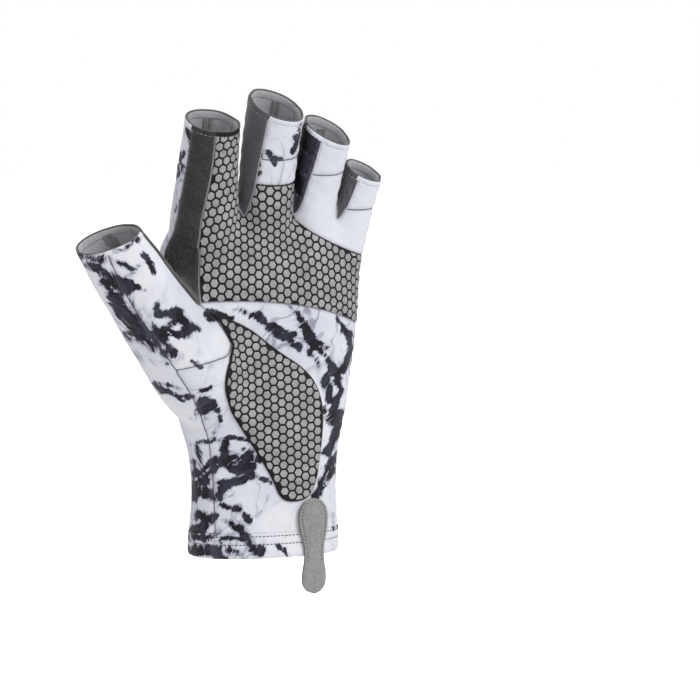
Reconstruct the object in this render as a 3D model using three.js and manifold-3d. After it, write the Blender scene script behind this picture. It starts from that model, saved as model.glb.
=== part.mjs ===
// A fingerless sun and fishing glove for the left hand, in millimetres, +Z towards the fingertips.
// The palm faces -Y, the thumb points towards -X, and the origin is the middle of the wrist opening.
// The glove is drawn with straight fingers first, and cut into its sewn panels there.
// Each panel is then bent into the half-closed shape of a relaxed hand.
import * as THREE from "three";
import { mergeVertices } from "three/addons/utils/BufferGeometryUtils.js";
import Module from "manifold-3d";

// Cloth and seams
const CLOTH = 1.2;
const SEAM_GAP = 0.3;
const PATCH_THICKNESS = 1.1;
const LONGEST_EDGE = 24;
const PALM_EDGE = 10;

// Palm and cuff
const CROTCH_HEIGHT = 150;
const PALM_BREADTH = 96;
const PALM_DEPTH = 37;
const CUFF_WIDTH = 68;
const CUFF_DEPTH = 42;
const HEM_HEIGHT = 11;
const HEM_THICKNESS = 2.2;

// Fingers, measured from the crotch to the cut end, and across the cut end
const INDEX_LENGTH = 46;
const MIDDLE_LENGTH = 54;
const RING_LENGTH = 41.5;
const PINKY_LENGTH = 26;
const INDEX_WIDTH = 24.8;
const MIDDLE_WIDTH = 26;
const RING_WIDTH = 23.2;
const PINKY_WIDTH = 18.8;
const RIM_HEIGHT = 2;
const RIM_THICKNESS = 1.6;

// Thumb, measured from its root in the palm, with its angles in degrees
const THUMB_LENGTH = 94.5;
const THUMB_WIDTH = 29.6;
const THUMB_SPREAD = 36.4;
const THUMB_FORWARD = 9.5;
const THUMB_ROLL = 21;

// Bend of the relaxed fingers, faded out before the thumb
const BEND_START = 114;
const BEND_RADIUS = 200;
const BEND_FADE = 14;

// Pull tab on the cuff
const TAB_LENGTH = 43;
const TAB_WIDTH = 15.5;
const TAB_THICKNESS = 1.6;

// Roundness of the sections: 2 is an ellipse, more is squarer
const PALM_SQUARENESS = 2.25;
const FINGER_SQUARENESS = 2.15;
const AROUND_PALM = 32;
const AROUND_FINGER = 18;

// Palm and cuff sections. up: share of the crotch height. aside: share of the palm breadth.
// spread: 0 is the cuff's width, 1 the palm's. deep: 0 is the cuff's depth, 1 the palm's.
// crest: how much of that depth is left, where the palm closes between the fingers.
const PALM_SECTIONS = [
  { up: 0, aside: 0.002, spread: 0, deep: 0, crest: 1 },
  { up: 0.073, aside: 0.004, spread: 0.02, deep: 0.15, crest: 1 },
  { up: 0.18, aside: 0.006, spread: -0.04, deep: 0.5, crest: 1 },
  { up: 0.31, aside: 0.003, spread: 0.08, deep: 0.9, crest: 1 },
  { up: 0.385, aside: -0.001, spread: 0.27, deep: 0.95, crest: 1 },
  { up: 0.455, aside: -0.006, spread: 0.45, deep: 1, crest: 1 },
  { up: 0.54, aside: -0.01, spread: 0.61, deep: 1, crest: 1 },
  { up: 0.62, aside: -0.013, spread: 0.76, deep: 1, crest: 1 },
  { up: 0.7, aside: -0.016, spread: 0.88, deep: 1, crest: 0.98 },
  { up: 0.795, aside: -0.017, spread: 0.95, deep: 1, crest: 0.94 },
  { up: 0.885, aside: -0.008, spread: 0.97, deep: 1, crest: 0.84 },
  { up: 0.945, aside: 0.012, spread: 0.96, deep: 1, crest: 0.66 },
  { up: 0.985, aside: 0.026, spread: 0.8, deep: 1, crest: 0.36 },
];

// Fingers. root and lean are sideways shares of the palm breadth, at the crotch and at the end.
// swell: width at the crotch as a share of the width at the end. drop: crotch below the highest one.
const FINGERS = [
  { name: "index", length: INDEX_LENGTH, width: INDEX_WIDTH, root: -0.293, lean: -0.006, swell: 1.24, drop: 0 },
  { name: "middle", length: MIDDLE_LENGTH, width: MIDDLE_WIDTH, root: -0.004, lean: 0.001, swell: 0.92, drop: 0 },
  { name: "ring", length: RING_LENGTH, width: RING_WIDTH, root: 0.225, lean: 0.043, swell: 0.89, drop: 0 },
  { name: "pinky", length: PINKY_LENGTH, width: PINKY_WIDTH, root: 0.42, lean: 0.053, swell: 0.96, drop: 0.03 },
];

// Shape along a finger. along: share of its length above the crotch.
// open: 0 is the width at the crotch, 1 at the end. thick: depth as a share of the end width.
const FINGER_SECTIONS = [
  { along: -0.62, open: -0.1, thick: 1.1 },
  { along: -0.25, open: -0.05, thick: 1.08 },
  { along: 0, open: 0, thick: 1.02 },
  { along: 0.3, open: 0.35, thick: 0.93 },
  { along: 0.65, open: 0.75, thick: 0.88 },
  { along: 1, open: 1, thick: 0.85 },
];

// Shape along the thumb. along: share of its length. wide: share of its end width. thick: depth over width.
// slant: degrees by which the section is turned off square, as its end is cut higher on the outer side.
const THUMB_SECTIONS = [
  { along: 0, wide: 1.17, thick: 0.77, slant: 0 },
  { along: 0.2, wide: 1.33, thick: 0.82, slant: 0 },
  { along: 0.45, wide: 1.25, thick: 0.84, slant: 0 },
  { along: 0.6, wide: 1.2, thick: 0.84, slant: 2 },
  { along: 0.82, wide: 1.1, thick: 0.84, slant: 8 },
  { along: 1, wide: 1, thick: 0.83, slant: 14 },
];

// Root of the thumb in the palm, in shares of the palm breadth, palm depth and crotch height
const THUMB_ROOT = { aside: -0.24, forward: -0.11, up: 0.456 };

// Folds and hollows of the worn cloth. aside and up: the middle, in shares. long and wide: its reach, in mm.
// turn: its slope in degrees. deep: how far it goes in, in mm. face: 1 on the palm side, -1 on the back.
const FOLDS = [
  { aside: -0.02, up: 0.65, long: 30, wide: 18, turn: -25, deep: 1.7, face: 1 },
  { aside: -0.36, up: 0.6, long: 22, wide: 12, turn: 62, deep: 1.3, face: 1 },
  { aside: -0.1, up: 0.2, long: 24, wide: 12, turn: 10, deep: 1.1, face: 1 },
  { aside: 0.24, up: 1.06, long: 12, wide: 9, turn: 4, deep: 0.9, face: 1 },
  { aside: 0.05, up: 0.29, long: 30, wide: 13, turn: -8, deep: 1.3, face: -1 },
];

// Seams. Each row of a wall or panel on a finger gives its two edges there, as angles round the finger.
// 0 degrees is the little-finger side, 90 the back, 180 the thumb side and 270 the palm side.
const WIDE_WALL = [
  { along: -0.16, from: 172, to: 188 },
  { along: 0.02, from: 160, to: 202 },
  { along: 0.25, from: 150, to: 222 },
  { along: 0.6, from: 144, to: 234 },
  { along: 1, from: 140, to: 242 },
];
const NARROW_WALL = [
  { along: -0.12, from: 350, to: 370 },
  { along: 0.02, from: 345, to: 375 },
  { along: 1, from: 343, to: 377 },
];
const INDEX_GUSSET = [
  { along: -0.2, from: 198, to: 243 },
  { along: 0.05, from: 198, to: 250 },
  { along: 0.45, from: 205, to: 261 },
  { along: 1, from: 205, to: 262 },
];
const THUMB_GUSSET = [
  { along: 0.56, from: 346, to: 395 },
  { along: 0.75, from: 348, to: 402 },
  { along: 1, from: 350, to: 408 },
];
const THUMB_FRONT = [
  { along: 0.38, from: 257, to: 346 },
  { along: 0.8, from: 255, to: 348 },
  { along: 1, from: 264, to: 350 },
];

// Pieces between two cross seams of one finger, where low and high are shares of its length
const BANDS = [
  { name: "index_tip_back", finger: "index", from: 10, to: 215, low: 0.55, high: 1.05 },
  { name: "middle_tip_back", finger: "middle", from: 5, to: 170, low: 0.59, high: 1.05 },
  { name: "ring_tip_back", finger: "ring", from: 5, to: 170, low: 0.47, high: 1.05 },
  { name: "pinky_tip_back", finger: "pinky", from: -10, to: 170, low: 0.42, high: 1.05 },
  { name: "middle_tip_front", finger: "middle", from: 190, to: 355, low: 0.57, high: 1.05 },
  { name: "middle_band", finger: "middle", from: 190, to: 355, low: 0.345, high: 0.57 },
  { name: "ring_tip_front", finger: "ring", from: 190, to: 355, low: 0.545, high: 1.05 },
  { name: "pinky_tip_front", finger: "pinky", from: 190, to: 355, low: 0.37, high: 1.05 },
];

// Outlines seen from the front. aside: share of the palm breadth. up: share of the crotch height.
const INDEX_GUSSET_FOOT = [
  { aside: -0.355, up: 1 },
  { aside: -0.357, up: 0.931 },
  { aside: -0.449, up: 0.835 },
  { aside: -0.5, up: 0.825 },
  { aside: -0.466, up: 1 },
];
const THUMB_GUSSET_FOOT = [
  { aside: -0.355, up: 0.933 },
  { aside: -0.358, up: 0.759 },
  { aside: -0.41, up: 0.743 },
  { aside: -0.6, up: 0.856 },
  { aside: -0.6, up: 0.928 },
];
const GRIP = [
  { aside: -0.37, up: 1.021 },
  { aside: -0.362, up: 0.759 },
  { aside: -0.168, up: 0.76 },
  { aside: -0.004, up: 0.754 },
  { aside: 0.164, up: 0.739 },
  { aside: 0.321, up: 0.715 },
  { aside: 0.56, up: 0.651 },
  { aside: 0.56, up: 0.877 },
  { aside: 0.427, up: 0.897 },
  { aside: 0.281, up: 0.941 },
  { aside: 0.167, up: 0.979 },
  { aside: 0.1, up: 1.021 },
];
const RING_PINKY_FOOT = [
  { aside: 0.125, up: 0.918 },
  { aside: 0.6, up: 0.795 },
  { aside: 0.6, up: 1 },
  { aside: 0.125, up: 1 },
];
const THUMB_FRONT_FOOT = [
  { aside: -0.36, up: 0.759 },
  { aside: -0.271, up: 0.703 },
  { aside: -0.209, up: 0.639 },
  { aside: -0.236, up: 0.606 },
  { aside: -0.408, up: 0.578 },
  { aside: -0.5, up: 0.567 },
  { aside: -0.583, up: 0.64 },
  { aside: -0.5, up: 0.774 },
];
const PALM_FRONT = [
  { aside: -0.295, up: -0.129 },
  { aside: -0.281, up: 0.179 },
  { aside: -0.306, up: 0.369 },
  { aside: -0.398, up: 0.476 },
  { aside: -0.5, up: 0.565 },
  { aside: -0.36, up: 0.795 },
  { aside: 0.6, up: 0.795 },
  { aside: 0.6, up: -0.129 },
];
const HEEL_GRIP = [
  { aside: -0.335, up: 0.735 },
  { aside: -0.145, up: 0.692 },
  { aside: 0.0, up: 0.615 },
  { aside: 0.15, up: 0.555 },
  { aside: 0.225, up: 0.482 },
  { aside: 0.242, up: 0.384 },
  { aside: 0.19, up: 0.235 },
  { aside: 0.09, up: 0.178 },
  { aside: 0.0, up: 0.184 },
  { aside: -0.075, up: 0.281 },
  { aside: -0.235, up: 0.448 },
  { aside: -0.255, up: 0.528 },
  { aside: -0.203, up: 0.63 },
  { aside: -0.27, up: 0.707 },
];

// Outline of the pull tab. half: share of its width. up: share of its length above its lower end.
const TAB_OUTLINE = [
  { half: 0.0, up: 0 },
  { half: 0.36, up: 0.07 },
  { half: 0.4, up: 0.22 },
  { half: 0.31, up: 0.36 },
  { half: 0.34, up: 0.52 },
  { half: 0.5, up: 0.74 },
  { half: 0.4, up: 0.93 },
  { half: 0.0, up: 1 },
];
const TAB_PLACE = { aside: 0.176, below: 0.4 };

const wasm = await Module();
wasm.setup();

const degrees = (angle) => (angle * Math.PI) / 180;
const mix = (a, b, share) => a + (b - a) * share;
const sideways = new THREE.Vector3(1, 0, 0);
const backwards = new THREE.Vector3(0, 1, 0);

// Directions of the thumb: along it, across it, and out of its nail side
const spread = degrees(THUMB_SPREAD);
const forward = degrees(THUMB_FORWARD);
const thumbAxis = new THREE.Vector3(
  -Math.sin(spread) * Math.cos(forward),
  -Math.sin(forward),
  Math.cos(spread) * Math.cos(forward),
);
const thumbAcross = new THREE.Vector3(Math.cos(spread), 0, Math.sin(spread));
thumbAcross.applyAxisAngle(thumbAxis, -degrees(THUMB_ROLL));
const thumbBack = new THREE.Vector3().crossVectors(thumbAxis, thumbAcross);
const thumbRoot = new THREE.Vector3(
  THUMB_ROOT.aside * PALM_BREADTH,
  THUMB_ROOT.forward * PALM_DEPTH,
  THUMB_ROOT.up * CROTCH_HEIGHT,
);

// One section of a tube: where its middle is, which way it lies, and how wide and deep it is
function palmSection(row) {
  return {
    middle: new THREE.Vector3(row.aside * PALM_BREADTH, 0, row.up * CROTCH_HEIGHT),
    across: sideways,
    back: backwards,
    halfWidth: mix(CUFF_WIDTH, PALM_BREADTH, row.spread) / 2,
    halfDepth: (mix(CUFF_DEPTH, PALM_DEPTH, row.deep) * row.crest) / 2,
    squareness: PALM_SQUARENESS,
  };
}

function fingerSection(finger, row) {
  const shift = finger.root + finger.lean * row.along;
  const crotch = CROTCH_HEIGHT * (1 - finger.drop);
  return {
    middle: new THREE.Vector3(shift * PALM_BREADTH, 0, crotch + row.along * finger.length),
    across: sideways,
    back: backwards,
    halfWidth: (finger.width * mix(finger.swell, 1, row.open)) / 2,
    halfDepth: (finger.width * row.thick) / 2,
    squareness: FINGER_SQUARENESS,
  };
}

function thumbSection(row) {
  const halfWidth = (THUMB_WIDTH * row.wide) / 2;
  return {
    middle: thumbRoot.clone().addScaledVector(thumbAxis, row.along * THUMB_LENGTH),
    across: thumbAcross.clone().applyAxisAngle(thumbBack, degrees(row.slant)),
    back: thumbBack,
    halfWidth,
    halfDepth: halfWidth * row.thick,
    squareness: FINGER_SQUARENESS,
  };
}

// A tube keeps its rows and gives the section at any share of its length
function tube(rows, toSection, key, length) {
  const shares = rows.map((row) => row[key]);
  const at = (share) => {
    const asked = Math.min(Math.max(share, shares[0]), shares[shares.length - 1]);
    let i = 0;
    while (i < rows.length - 2 && shares[i + 1] < asked) i += 1;
    const portion = (asked - shares[i]) / (shares[i + 1] - shares[i]);
    const names = Object.keys(rows[i]);
    const row = Object.fromEntries(names.map((name) => [name, mix(rows[i][name], rows[i + 1][name], portion)]));
    return toSection({ ...row, [key]: share });
  };
  const between = (low, high) => [low, ...shares.filter((share) => share > low + 0.02 && share < high - 0.02), high];
  return { shares, at, between, length };
}

const palm = tube(PALM_SECTIONS, palmSection, "up", CROTCH_HEIGHT);
const thumb = tube(THUMB_SECTIONS, thumbSection, "along", THUMB_LENGTH);
const fingers = Object.fromEntries(
  FINGERS.map((finger) => [
    finger.name,
    tube(FINGER_SECTIONS, (row) => fingerSection(finger, row), "along", finger.length),
  ]),
);
const digits = { ...fingers, thumb };

// A point of a section at an angle round it, moved out by a distance
function pointOn(section, angle, grow) {
  const c = Math.cos(degrees(angle));
  const s = Math.sin(degrees(angle));
  const power = 2 / section.squareness;
  const x = Math.sign(c) * Math.abs(c) ** power * (section.halfWidth + grow);
  const y = Math.sign(s) * Math.abs(s) ** power * (section.halfDepth + grow);
  return section.middle.clone().addScaledVector(section.across, x).addScaledVector(section.back, y);
}

function ring(section, grow, count) {
  return Array.from({ length: count }, (_, i) => pointOn(section, (360 * i) / count, grow));
}

// A closed solid through polygons of equal point count, capped by fans from their first points
function loft(polygons) {
  const count = polygons[0].length;
  const triangles = [];
  for (let i = 0; i < polygons.length - 1; i += 1) {
    for (let j = 0; j < count; j += 1) {
      const a = i * count + j;
      const b = i * count + ((j + 1) % count);
      triangles.push(a, b, b + count, a, b + count, a + count);
    }
  }
  const top = (polygons.length - 1) * count;
  for (let j = 1; j < count - 1; j += 1) {
    triangles.push(0, j + 1, j);
    triangles.push(top, top + j, top + j + 1);
  }
  const geometry = new THREE.BufferGeometry().setFromPoints(polygons.flat());
  geometry.setIndex(triangles);
  return solidOf(geometry);
}

// A closed geometry as a solid, turned right side out if it comes out negative
function solidOf(geometry) {
  const bare = geometry.clone();
  bare.deleteAttribute("normal");
  bare.deleteAttribute("uv");
  const merged = mergeVertices(bare, 1e-4);
  const vertProperties = new Float32Array(merged.attributes.position.array);
  const triVerts = new Uint32Array(merged.index.array);
  const made = new wasm.Manifold(new wasm.Mesh({ numProp: 3, vertProperties, triVerts }));
  if (made.volume() > 0) return made;
  const turned = triVerts.map((_, i) => triVerts[i - (i % 3) + [0, 2, 1][i % 3]]);
  return new wasm.Manifold(new wasm.Mesh({ numProp: 3, vertProperties, triVerts: turned }));
}

const joined = (solids) => solids.reduce((sum, solid) => sum.add(solid));

// The whole length of a tube moved out by a distance, and run on past its ends
function tubeSolid(source, grow, count, before, after) {
  const shares = [...source.shares];
  if (before > 0) shares.unshift(shares[0] - before / source.length);
  if (after > 0) shares.push(shares[shares.length - 1] + after / source.length);
  return loft(shares.map((share) => ring(source.at(share), grow, count)));
}

// The whole glove's form moved out by a distance, with its open ends run on
function form(grow, overrun) {
  const ends = Object.values(digits).map((source) => tubeSolid(source, grow, AROUND_FINGER, 0, overrun));
  return joined([tubeSolid(palm, grow, AROUND_PALM, overrun, 0), ...ends]);
}

// A wedge of a tube from its axis to just outside it, between two edges that change along it
const REACH = 0.9;
function wedge(source, rows, grow) {
  const steps = 9;
  const polygons = rows.map((row, i) => {
    const run = i === 0 ? -grow : i === rows.length - 1 ? grow : 0;
    const section = source.at(row.along + run / source.length);
    const margin = ((grow / section.halfWidth) * 180) / Math.PI;
    const angles = Array.from({ length: steps }, (_, j) =>
      mix(row.from - margin, row.to + margin, j / (steps - 1)),
    );
    return [section.middle.clone(), ...angles.map((angle) => pointOn(section, angle, REACH))];
  });
  return loft(polygons);
}

const band = (source, { from, to, low, high }, grow) =>
  wedge(source, source.between(low, high).map((along) => ({ along, from, to })), grow);

// All round a tube between two shares of its length
const slice = (source, low, high) =>
  loft([low, high].map((share) => ring(source.at(share), REACH, AROUND_FINGER)));

// A closed outline moved outwards by a distance, each point along the mean normal of its two edges
function grown(points, distance) {
  const turn = THREE.ShapeUtils.area(points) > 0 ? 1 : -1;
  return points.map((point, i) => {
    const first = point.clone().sub(points[(i + points.length - 1) % points.length]).normalize();
    const second = points[(i + 1) % points.length].clone().sub(point).normalize();
    const normal = new THREE.Vector2(first.y + second.y, -first.x - second.x).multiplyScalar(turn);
    const size = Math.max(normal.length(), 0.8);
    return point.clone().addScaledVector(normal, (2 * distance) / size ** 2);
  });
}

// A prism over an outline, running back between two depths that are shares of the palm depth
function prism(points, front, back, grow) {
  const depth = (back - front) * PALM_DEPTH + 2 * grow;
  const shape = new THREE.Shape(grown(points, grow));
  const geometry = new THREE.ExtrudeGeometry(shape, { depth, bevelEnabled: false, steps: 1 });
  geometry.rotateX(Math.PI / 2);
  geometry.translate(0, back * PALM_DEPTH + grow, 0);
  return solidOf(geometry);
}

const places = (rows) => rows.map((row) => new THREE.Vector2(row.aside * PALM_BREADTH, row.up * CROTCH_HEIGHT));

// A smooth closed line through a few points
function smooth(points, steps) {
  const corners = points.map((point) => new THREE.Vector3(point.x, point.y, 0));
  const curve = new THREE.CatmullRomCurve3(corners, true, "centripetal");
  return curve.getPoints(steps).slice(0, steps).map((point) => new THREE.Vector2(point.x, point.y));
}

const rises = (low, high, value) => THREE.MathUtils.smoothstep(value, low, high);

// How far the folds push a point of the cloth in
function folded(point) {
  let push = 0;
  for (const fold of FOLDS) {
    const x = point.x - fold.aside * PALM_BREADTH;
    const z = point.z - fold.up * CROTCH_HEIGHT;
    const turn = degrees(fold.turn);
    const along = (x * Math.cos(turn) + z * Math.sin(turn)) / fold.long;
    const across = (z * Math.cos(turn) - x * Math.sin(turn)) / fold.wide;
    const facing = rises(0, PALM_DEPTH / 4, -point.y * fold.face);
    push += fold.face * fold.deep * facing * Math.exp(-(along ** 2) - across ** 2);
  }
  return push;
}

// The relaxed hand's place for a point of the straight glove
function bent(point) {
  const indexSide = fingers.index.at(0).middle.x - fingers.index.at(0).halfWidth;
  const strength = rises(indexSide - BEND_FADE, indexSide, point.x);
  const angle = Math.max(point.z - BEND_START, 0) / BEND_RADIUS;
  const y = point.y + folded(point);
  const target = new THREE.Vector3(
    point.x,
    y * Math.cos(angle) - BEND_RADIUS * (1 - Math.cos(angle)),
    Math.min(point.z, BEND_START) + (BEND_RADIUS + y) * Math.sin(angle),
  );
  return new THREE.Vector3(point.x, y, point.z).lerp(target, strength);
}

const glove = new THREE.Group();

function addPiece(name, solid, material, longestEdge = LONGEST_EDGE) {
  const bodies = solid.decompose();
  const largest = bodies.reduce((best, body) => (body.volume() > best.volume() ? body : best));
  const { vertProperties, triVerts } = largest.refineToLength(longestEdge).getMesh();
  const positions = new Float32Array(vertProperties.length);
  for (let i = 0; i < positions.length; i += 3) {
    bent(new THREE.Vector3().fromArray(vertProperties, i)).toArray(positions, i);
  }
  const geometry = new THREE.BufferGeometry();
  geometry.setAttribute("position", new THREE.BufferAttribute(positions, 3));
  geometry.setIndex(new THREE.BufferAttribute(new Uint32Array(triVerts), 1));
  geometry.computeVertexNormals();
  const mesh = new THREE.Mesh(geometry, material);
  mesh.name = name;
  glove.add(mesh);
}

const finish = (color, roughness) => new THREE.MeshStandardMaterial({ color, roughness, metalness: 0 });
const printedKnit = finish(0xdfe1ea, 0.8);
const charcoalKnit = finish(0x3a3b3a, 0.9);
const greyKnit = finish(0x66666a, 0.85);
const navyKnit = finish(0x1c1c2c, 0.85);
const gripCloth = finish(0x4c4c4c, 0.6);
const rimCloth = finish(0x77797a, 0.85);
const tabSuede = finish(0x8c8c8a, 0.9);

// Rims: the turned edges of the five openings
const rimExtra = (RIM_THICKNESS - CLOTH) / 2;
for (const [name, source] of Object.entries(digits)) {
  const height = RIM_HEIGHT / source.length;
  const outside = [1 - height, 1].map((share) => ring(source.at(share), rimExtra, AROUND_FINGER));
  const inside = [1 - 2 * height, 1 + height].map((share) =>
    ring(source.at(share), -CLOTH - rimExtra, AROUND_FINGER),
  );
  addPiece(`${name}_rim`, loft(outside).subtract(loft(inside)), rimCloth);
}

// Cuff hem: the cloth turned up and stitched double
const hemExtra = (HEM_THICKNESS - CLOTH) / 2;
const hemTop = HEM_HEIGHT / CROTCH_HEIGHT;
const hemRings = (shares, grow) => loft(shares.map((share) => ring(palm.at(share), grow, AROUND_PALM)));
addPiece(
  "cuff_hem",
  hemRings([0, hemTop], hemExtra).subtract(hemRings([-hemTop, 0, hemTop, 2 * hemTop], -CLOTH - hemExtra)),
  printedKnit,
);

// The cloth between the hem and the rims, which the panels are cut from
const belowHem = hemRings([-1, (HEM_HEIGHT + SEAM_GAP) / CROTCH_HEIGHT], PALM_DEPTH);
const endCuts = Object.values(digits).map((source) =>
  slice(source, 1 - (RIM_HEIGHT + SEAM_GAP) / source.length, 1.2),
);
let cloth = form(0, 0).subtract(form(-CLOTH, 12)).subtract(joined([belowHem, ...endCuts]));

// Cuts one panel out of the cloth, and leaves a seam's gap round it
function cutPanel(name, region, material, longestEdge) {
  addPiece(name, cloth.intersect(region(0)), material, longestEdge);
  cloth = cloth.subtract(region(SEAM_GAP));
}

// Side walls between the fingers: the thumb side of one and the little-finger side of the one before
const WALLS = [
  { name: "fourchette_index_middle", before: "index", after: "middle", material: greyKnit },
  { name: "fourchette_middle_ring", before: "middle", after: "ring", material: navyKnit },
  { name: "fourchette_ring_pinky", before: "ring", after: "pinky", material: greyKnit },
];
for (const { name, before, after, material } of WALLS) {
  const region = (grow) => wedge(fingers[after], WIDE_WALL, grow).add(wedge(fingers[before], NARROW_WALL, grow));
  cutPanel(name, region, material);
}

// Front of the thumb, running down to its seam across the ball of the thumb
const FRONT_DEPTH = -2;
const SIDE_SEAM = -0.08;
const palmFront = (rows, grow) => prism(places(rows), FRONT_DEPTH, SIDE_SEAM, grow);
cutPanel(
  "thumb_panel",
  (grow) => wedge(thumb, THUMB_FRONT, grow).add(palmFront(THUMB_FRONT_FOOT, grow)),
  printedKnit,
);

// Charcoal walls: the index's thumb side and the inside of the thumb
cutPanel(
  "index_gusset",
  (grow) => wedge(fingers.index, INDEX_GUSSET, grow).add(palmFront(INDEX_GUSSET_FOOT, grow)),
  charcoalKnit,
);
cutPanel(
  "thumb_gusset",
  (grow) => wedge(thumb, THUMB_GUSSET, grow).add(palmFront(THUMB_GUSSET_FOOT, grow)),
  charcoalKnit,
);

// Pieces between the cross seams of the fingers
for (const row of BANDS) {
  cutPanel(row.name, (grow) => band(fingers[row.finger], row, grow), printedKnit);
}

// Front panels, each running from its place on the palm up its fingers
cutPanel(
  "palm_grip",
  (grow) =>
    joined([
      palmFront(GRIP, grow),
      band(fingers.index, { from: 230, to: 355, low: -0.3, high: 1.05 }, grow),
      band(fingers.middle, { from: 195, to: 355, low: -0.3, high: 0.4 }, grow),
    ]),
  gripCloth,
);
cutPanel(
  "ring_pinky_front",
  (grow) =>
    joined([
      palmFront(RING_PINKY_FOOT, grow),
      band(fingers.ring, { from: 195, to: 355, low: -0.2, high: 0.6 }, grow),
      band(fingers.pinky, { from: 195, to: 349, low: -0.2, high: 0.5 }, grow),
    ]),
  printedKnit,
);
cutPanel("palm_panel", (grow) => palmFront(PALM_FRONT, grow), printedKnit, PALM_EDGE);
addPiece("back_panel", cloth, printedKnit);

// Heel patch: lies over the palm panel
const heelOutline = smooth(places(HEEL_GRIP), 44);
addPiece(
  "heel_grip",
  form(SEAM_GAP + PATCH_THICKNESS, 0)
    .subtract(form(SEAM_GAP, 12))
    .intersect(prism(heelOutline, FRONT_DEPTH, SIDE_SEAM, 0)),
  gripCloth,
  PALM_EDGE,
);

// Pull tab: lies over the hem and hangs below it, curved as the cuff is
const tabSide = TAB_OUTLINE.slice(1, -1);
const tabRows = [...TAB_OUTLINE, ...tabSide.toReversed().map((row) => ({ half: -row.half, up: row.up }))];
const tabPoints = tabRows.map(
  (row) =>
    new THREE.Vector2(
      TAB_PLACE.aside * PALM_BREADTH + row.half * TAB_WIDTH,
      (row.up - TAB_PLACE.below) * TAB_LENGTH,
    ),
);
const tabUnder = hemExtra + SEAM_GAP;
addPiece(
  "pull_tab",
  tubeSolid(palm, tabUnder + TAB_THICKNESS, AROUND_PALM, TAB_LENGTH, 0)
    .subtract(tubeSolid(palm, tabUnder, AROUND_PALM, 2 * TAB_LENGTH, 0))
    .intersect(prism(smooth(tabPoints, 32), FRONT_DEPTH, SIDE_SEAM, 0)),
  tabSuede,
);

export default glove;
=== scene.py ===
import math

import bmesh
import bpy
import numpy as np
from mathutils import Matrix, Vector
from mathutils.bvhtree import BVHTree
from mathutils.kdtree import KDTree


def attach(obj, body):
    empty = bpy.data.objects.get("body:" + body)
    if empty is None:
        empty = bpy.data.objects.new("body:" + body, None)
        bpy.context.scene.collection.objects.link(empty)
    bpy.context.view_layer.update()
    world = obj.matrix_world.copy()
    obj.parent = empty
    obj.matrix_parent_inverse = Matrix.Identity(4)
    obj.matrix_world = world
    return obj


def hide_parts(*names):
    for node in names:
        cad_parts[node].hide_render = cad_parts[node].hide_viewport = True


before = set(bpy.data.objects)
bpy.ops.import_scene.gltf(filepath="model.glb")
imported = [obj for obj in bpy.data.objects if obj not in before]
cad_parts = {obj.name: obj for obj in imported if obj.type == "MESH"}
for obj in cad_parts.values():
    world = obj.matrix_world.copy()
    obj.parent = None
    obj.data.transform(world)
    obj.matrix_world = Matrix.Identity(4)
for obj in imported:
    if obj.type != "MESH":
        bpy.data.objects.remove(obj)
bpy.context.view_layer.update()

# A left-hand fishing glove with cut-off fingers. Sizes are in millimetres, as in the part's source, until a mesh is
# made. +Z points to the fingertips, the palm faces -Y and the thumb points to -X. The glove is first drawn with
# straight fingers and cut along its seams there. Then it is bent as a relaxed hand.
MM = 0.001
CLOTH = 1.2
CROTCH = 150.0
PALM_BREADTH, PALM_DEPTH = 96.0, 37.0
CUFF_WIDTH, CUFF_DEPTH = 68.0, 42.0
HEM_HEIGHT = 11.0
RIM_HEIGHT = 2.0
OVERRUN = 9.0
SIDE_SEAM_Y = -3.0

# Where the photograph is taken from: turn and rise in radians, distance, and its centre aside and up
VIEW_TURN, VIEW_RISE = math.radians(-22), math.radians(5)
VIEW_AWAY, VIEW_ASIDE, VIEW_UP = 1312.5, 39.2, 90.5
PHOTO_PIXEL, PHOTO_CENTRE = 0.45, 350

# Palm: height, middle, width and depth as shares, and how far it is closed between the fingers
PALM_ROWS = [
    (0.0, 0.002, 0.0, 0.0, 1.0), (0.073, 0.004, 0.02, 0.15, 1.0), (0.18, 0.006, -0.04, 0.5, 1.0),
    (0.31, 0.003, 0.08, 0.9, 1.0), (0.385, -0.001, 0.27, 0.95, 1.0), (0.455, -0.006, 0.45, 1.0, 1.0),
    (0.54, -0.01, 0.61, 1.0, 1.0), (0.62, -0.013, 0.76, 1.0, 1.0), (0.7, -0.016, 0.88, 1.0, 0.98),
    (0.795, -0.017, 0.95, 1.0, 0.94), (0.885, -0.008, 0.97, 1.0, 0.84), (0.945, 0.012, 0.96, 1.0, 0.66),
    (0.985, 0.026, 0.8, 1.0, 0.36),
]
# Fingers: length, end width, place and lean in the palm's breadth, swelling at the root, drop of the crotch
FINGERS = {
    "index": (46.0, 24.8, -0.293, -0.006, 1.24, 0.0),
    "middle": (54.0, 26.0, -0.004, 0.001, 0.92, 0.0),
    "ring": (41.5, 23.2, 0.225, 0.043, 0.89, 0.0),
    "pinky": (26.0, 18.8, 0.42, 0.053, 0.96, 0.03),
}
# Along a finger: place, how far the swelling of its root has gone, and depth over width
FINGER_ROWS = [
    (-0.62, -0.1, 1.1), (-0.25, -0.05, 1.08), (0.0, 0.0, 1.02), (0.3, 0.35, 0.93), (0.65, 0.75, 0.88), (1.0, 1.0, 0.85),
]
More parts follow.
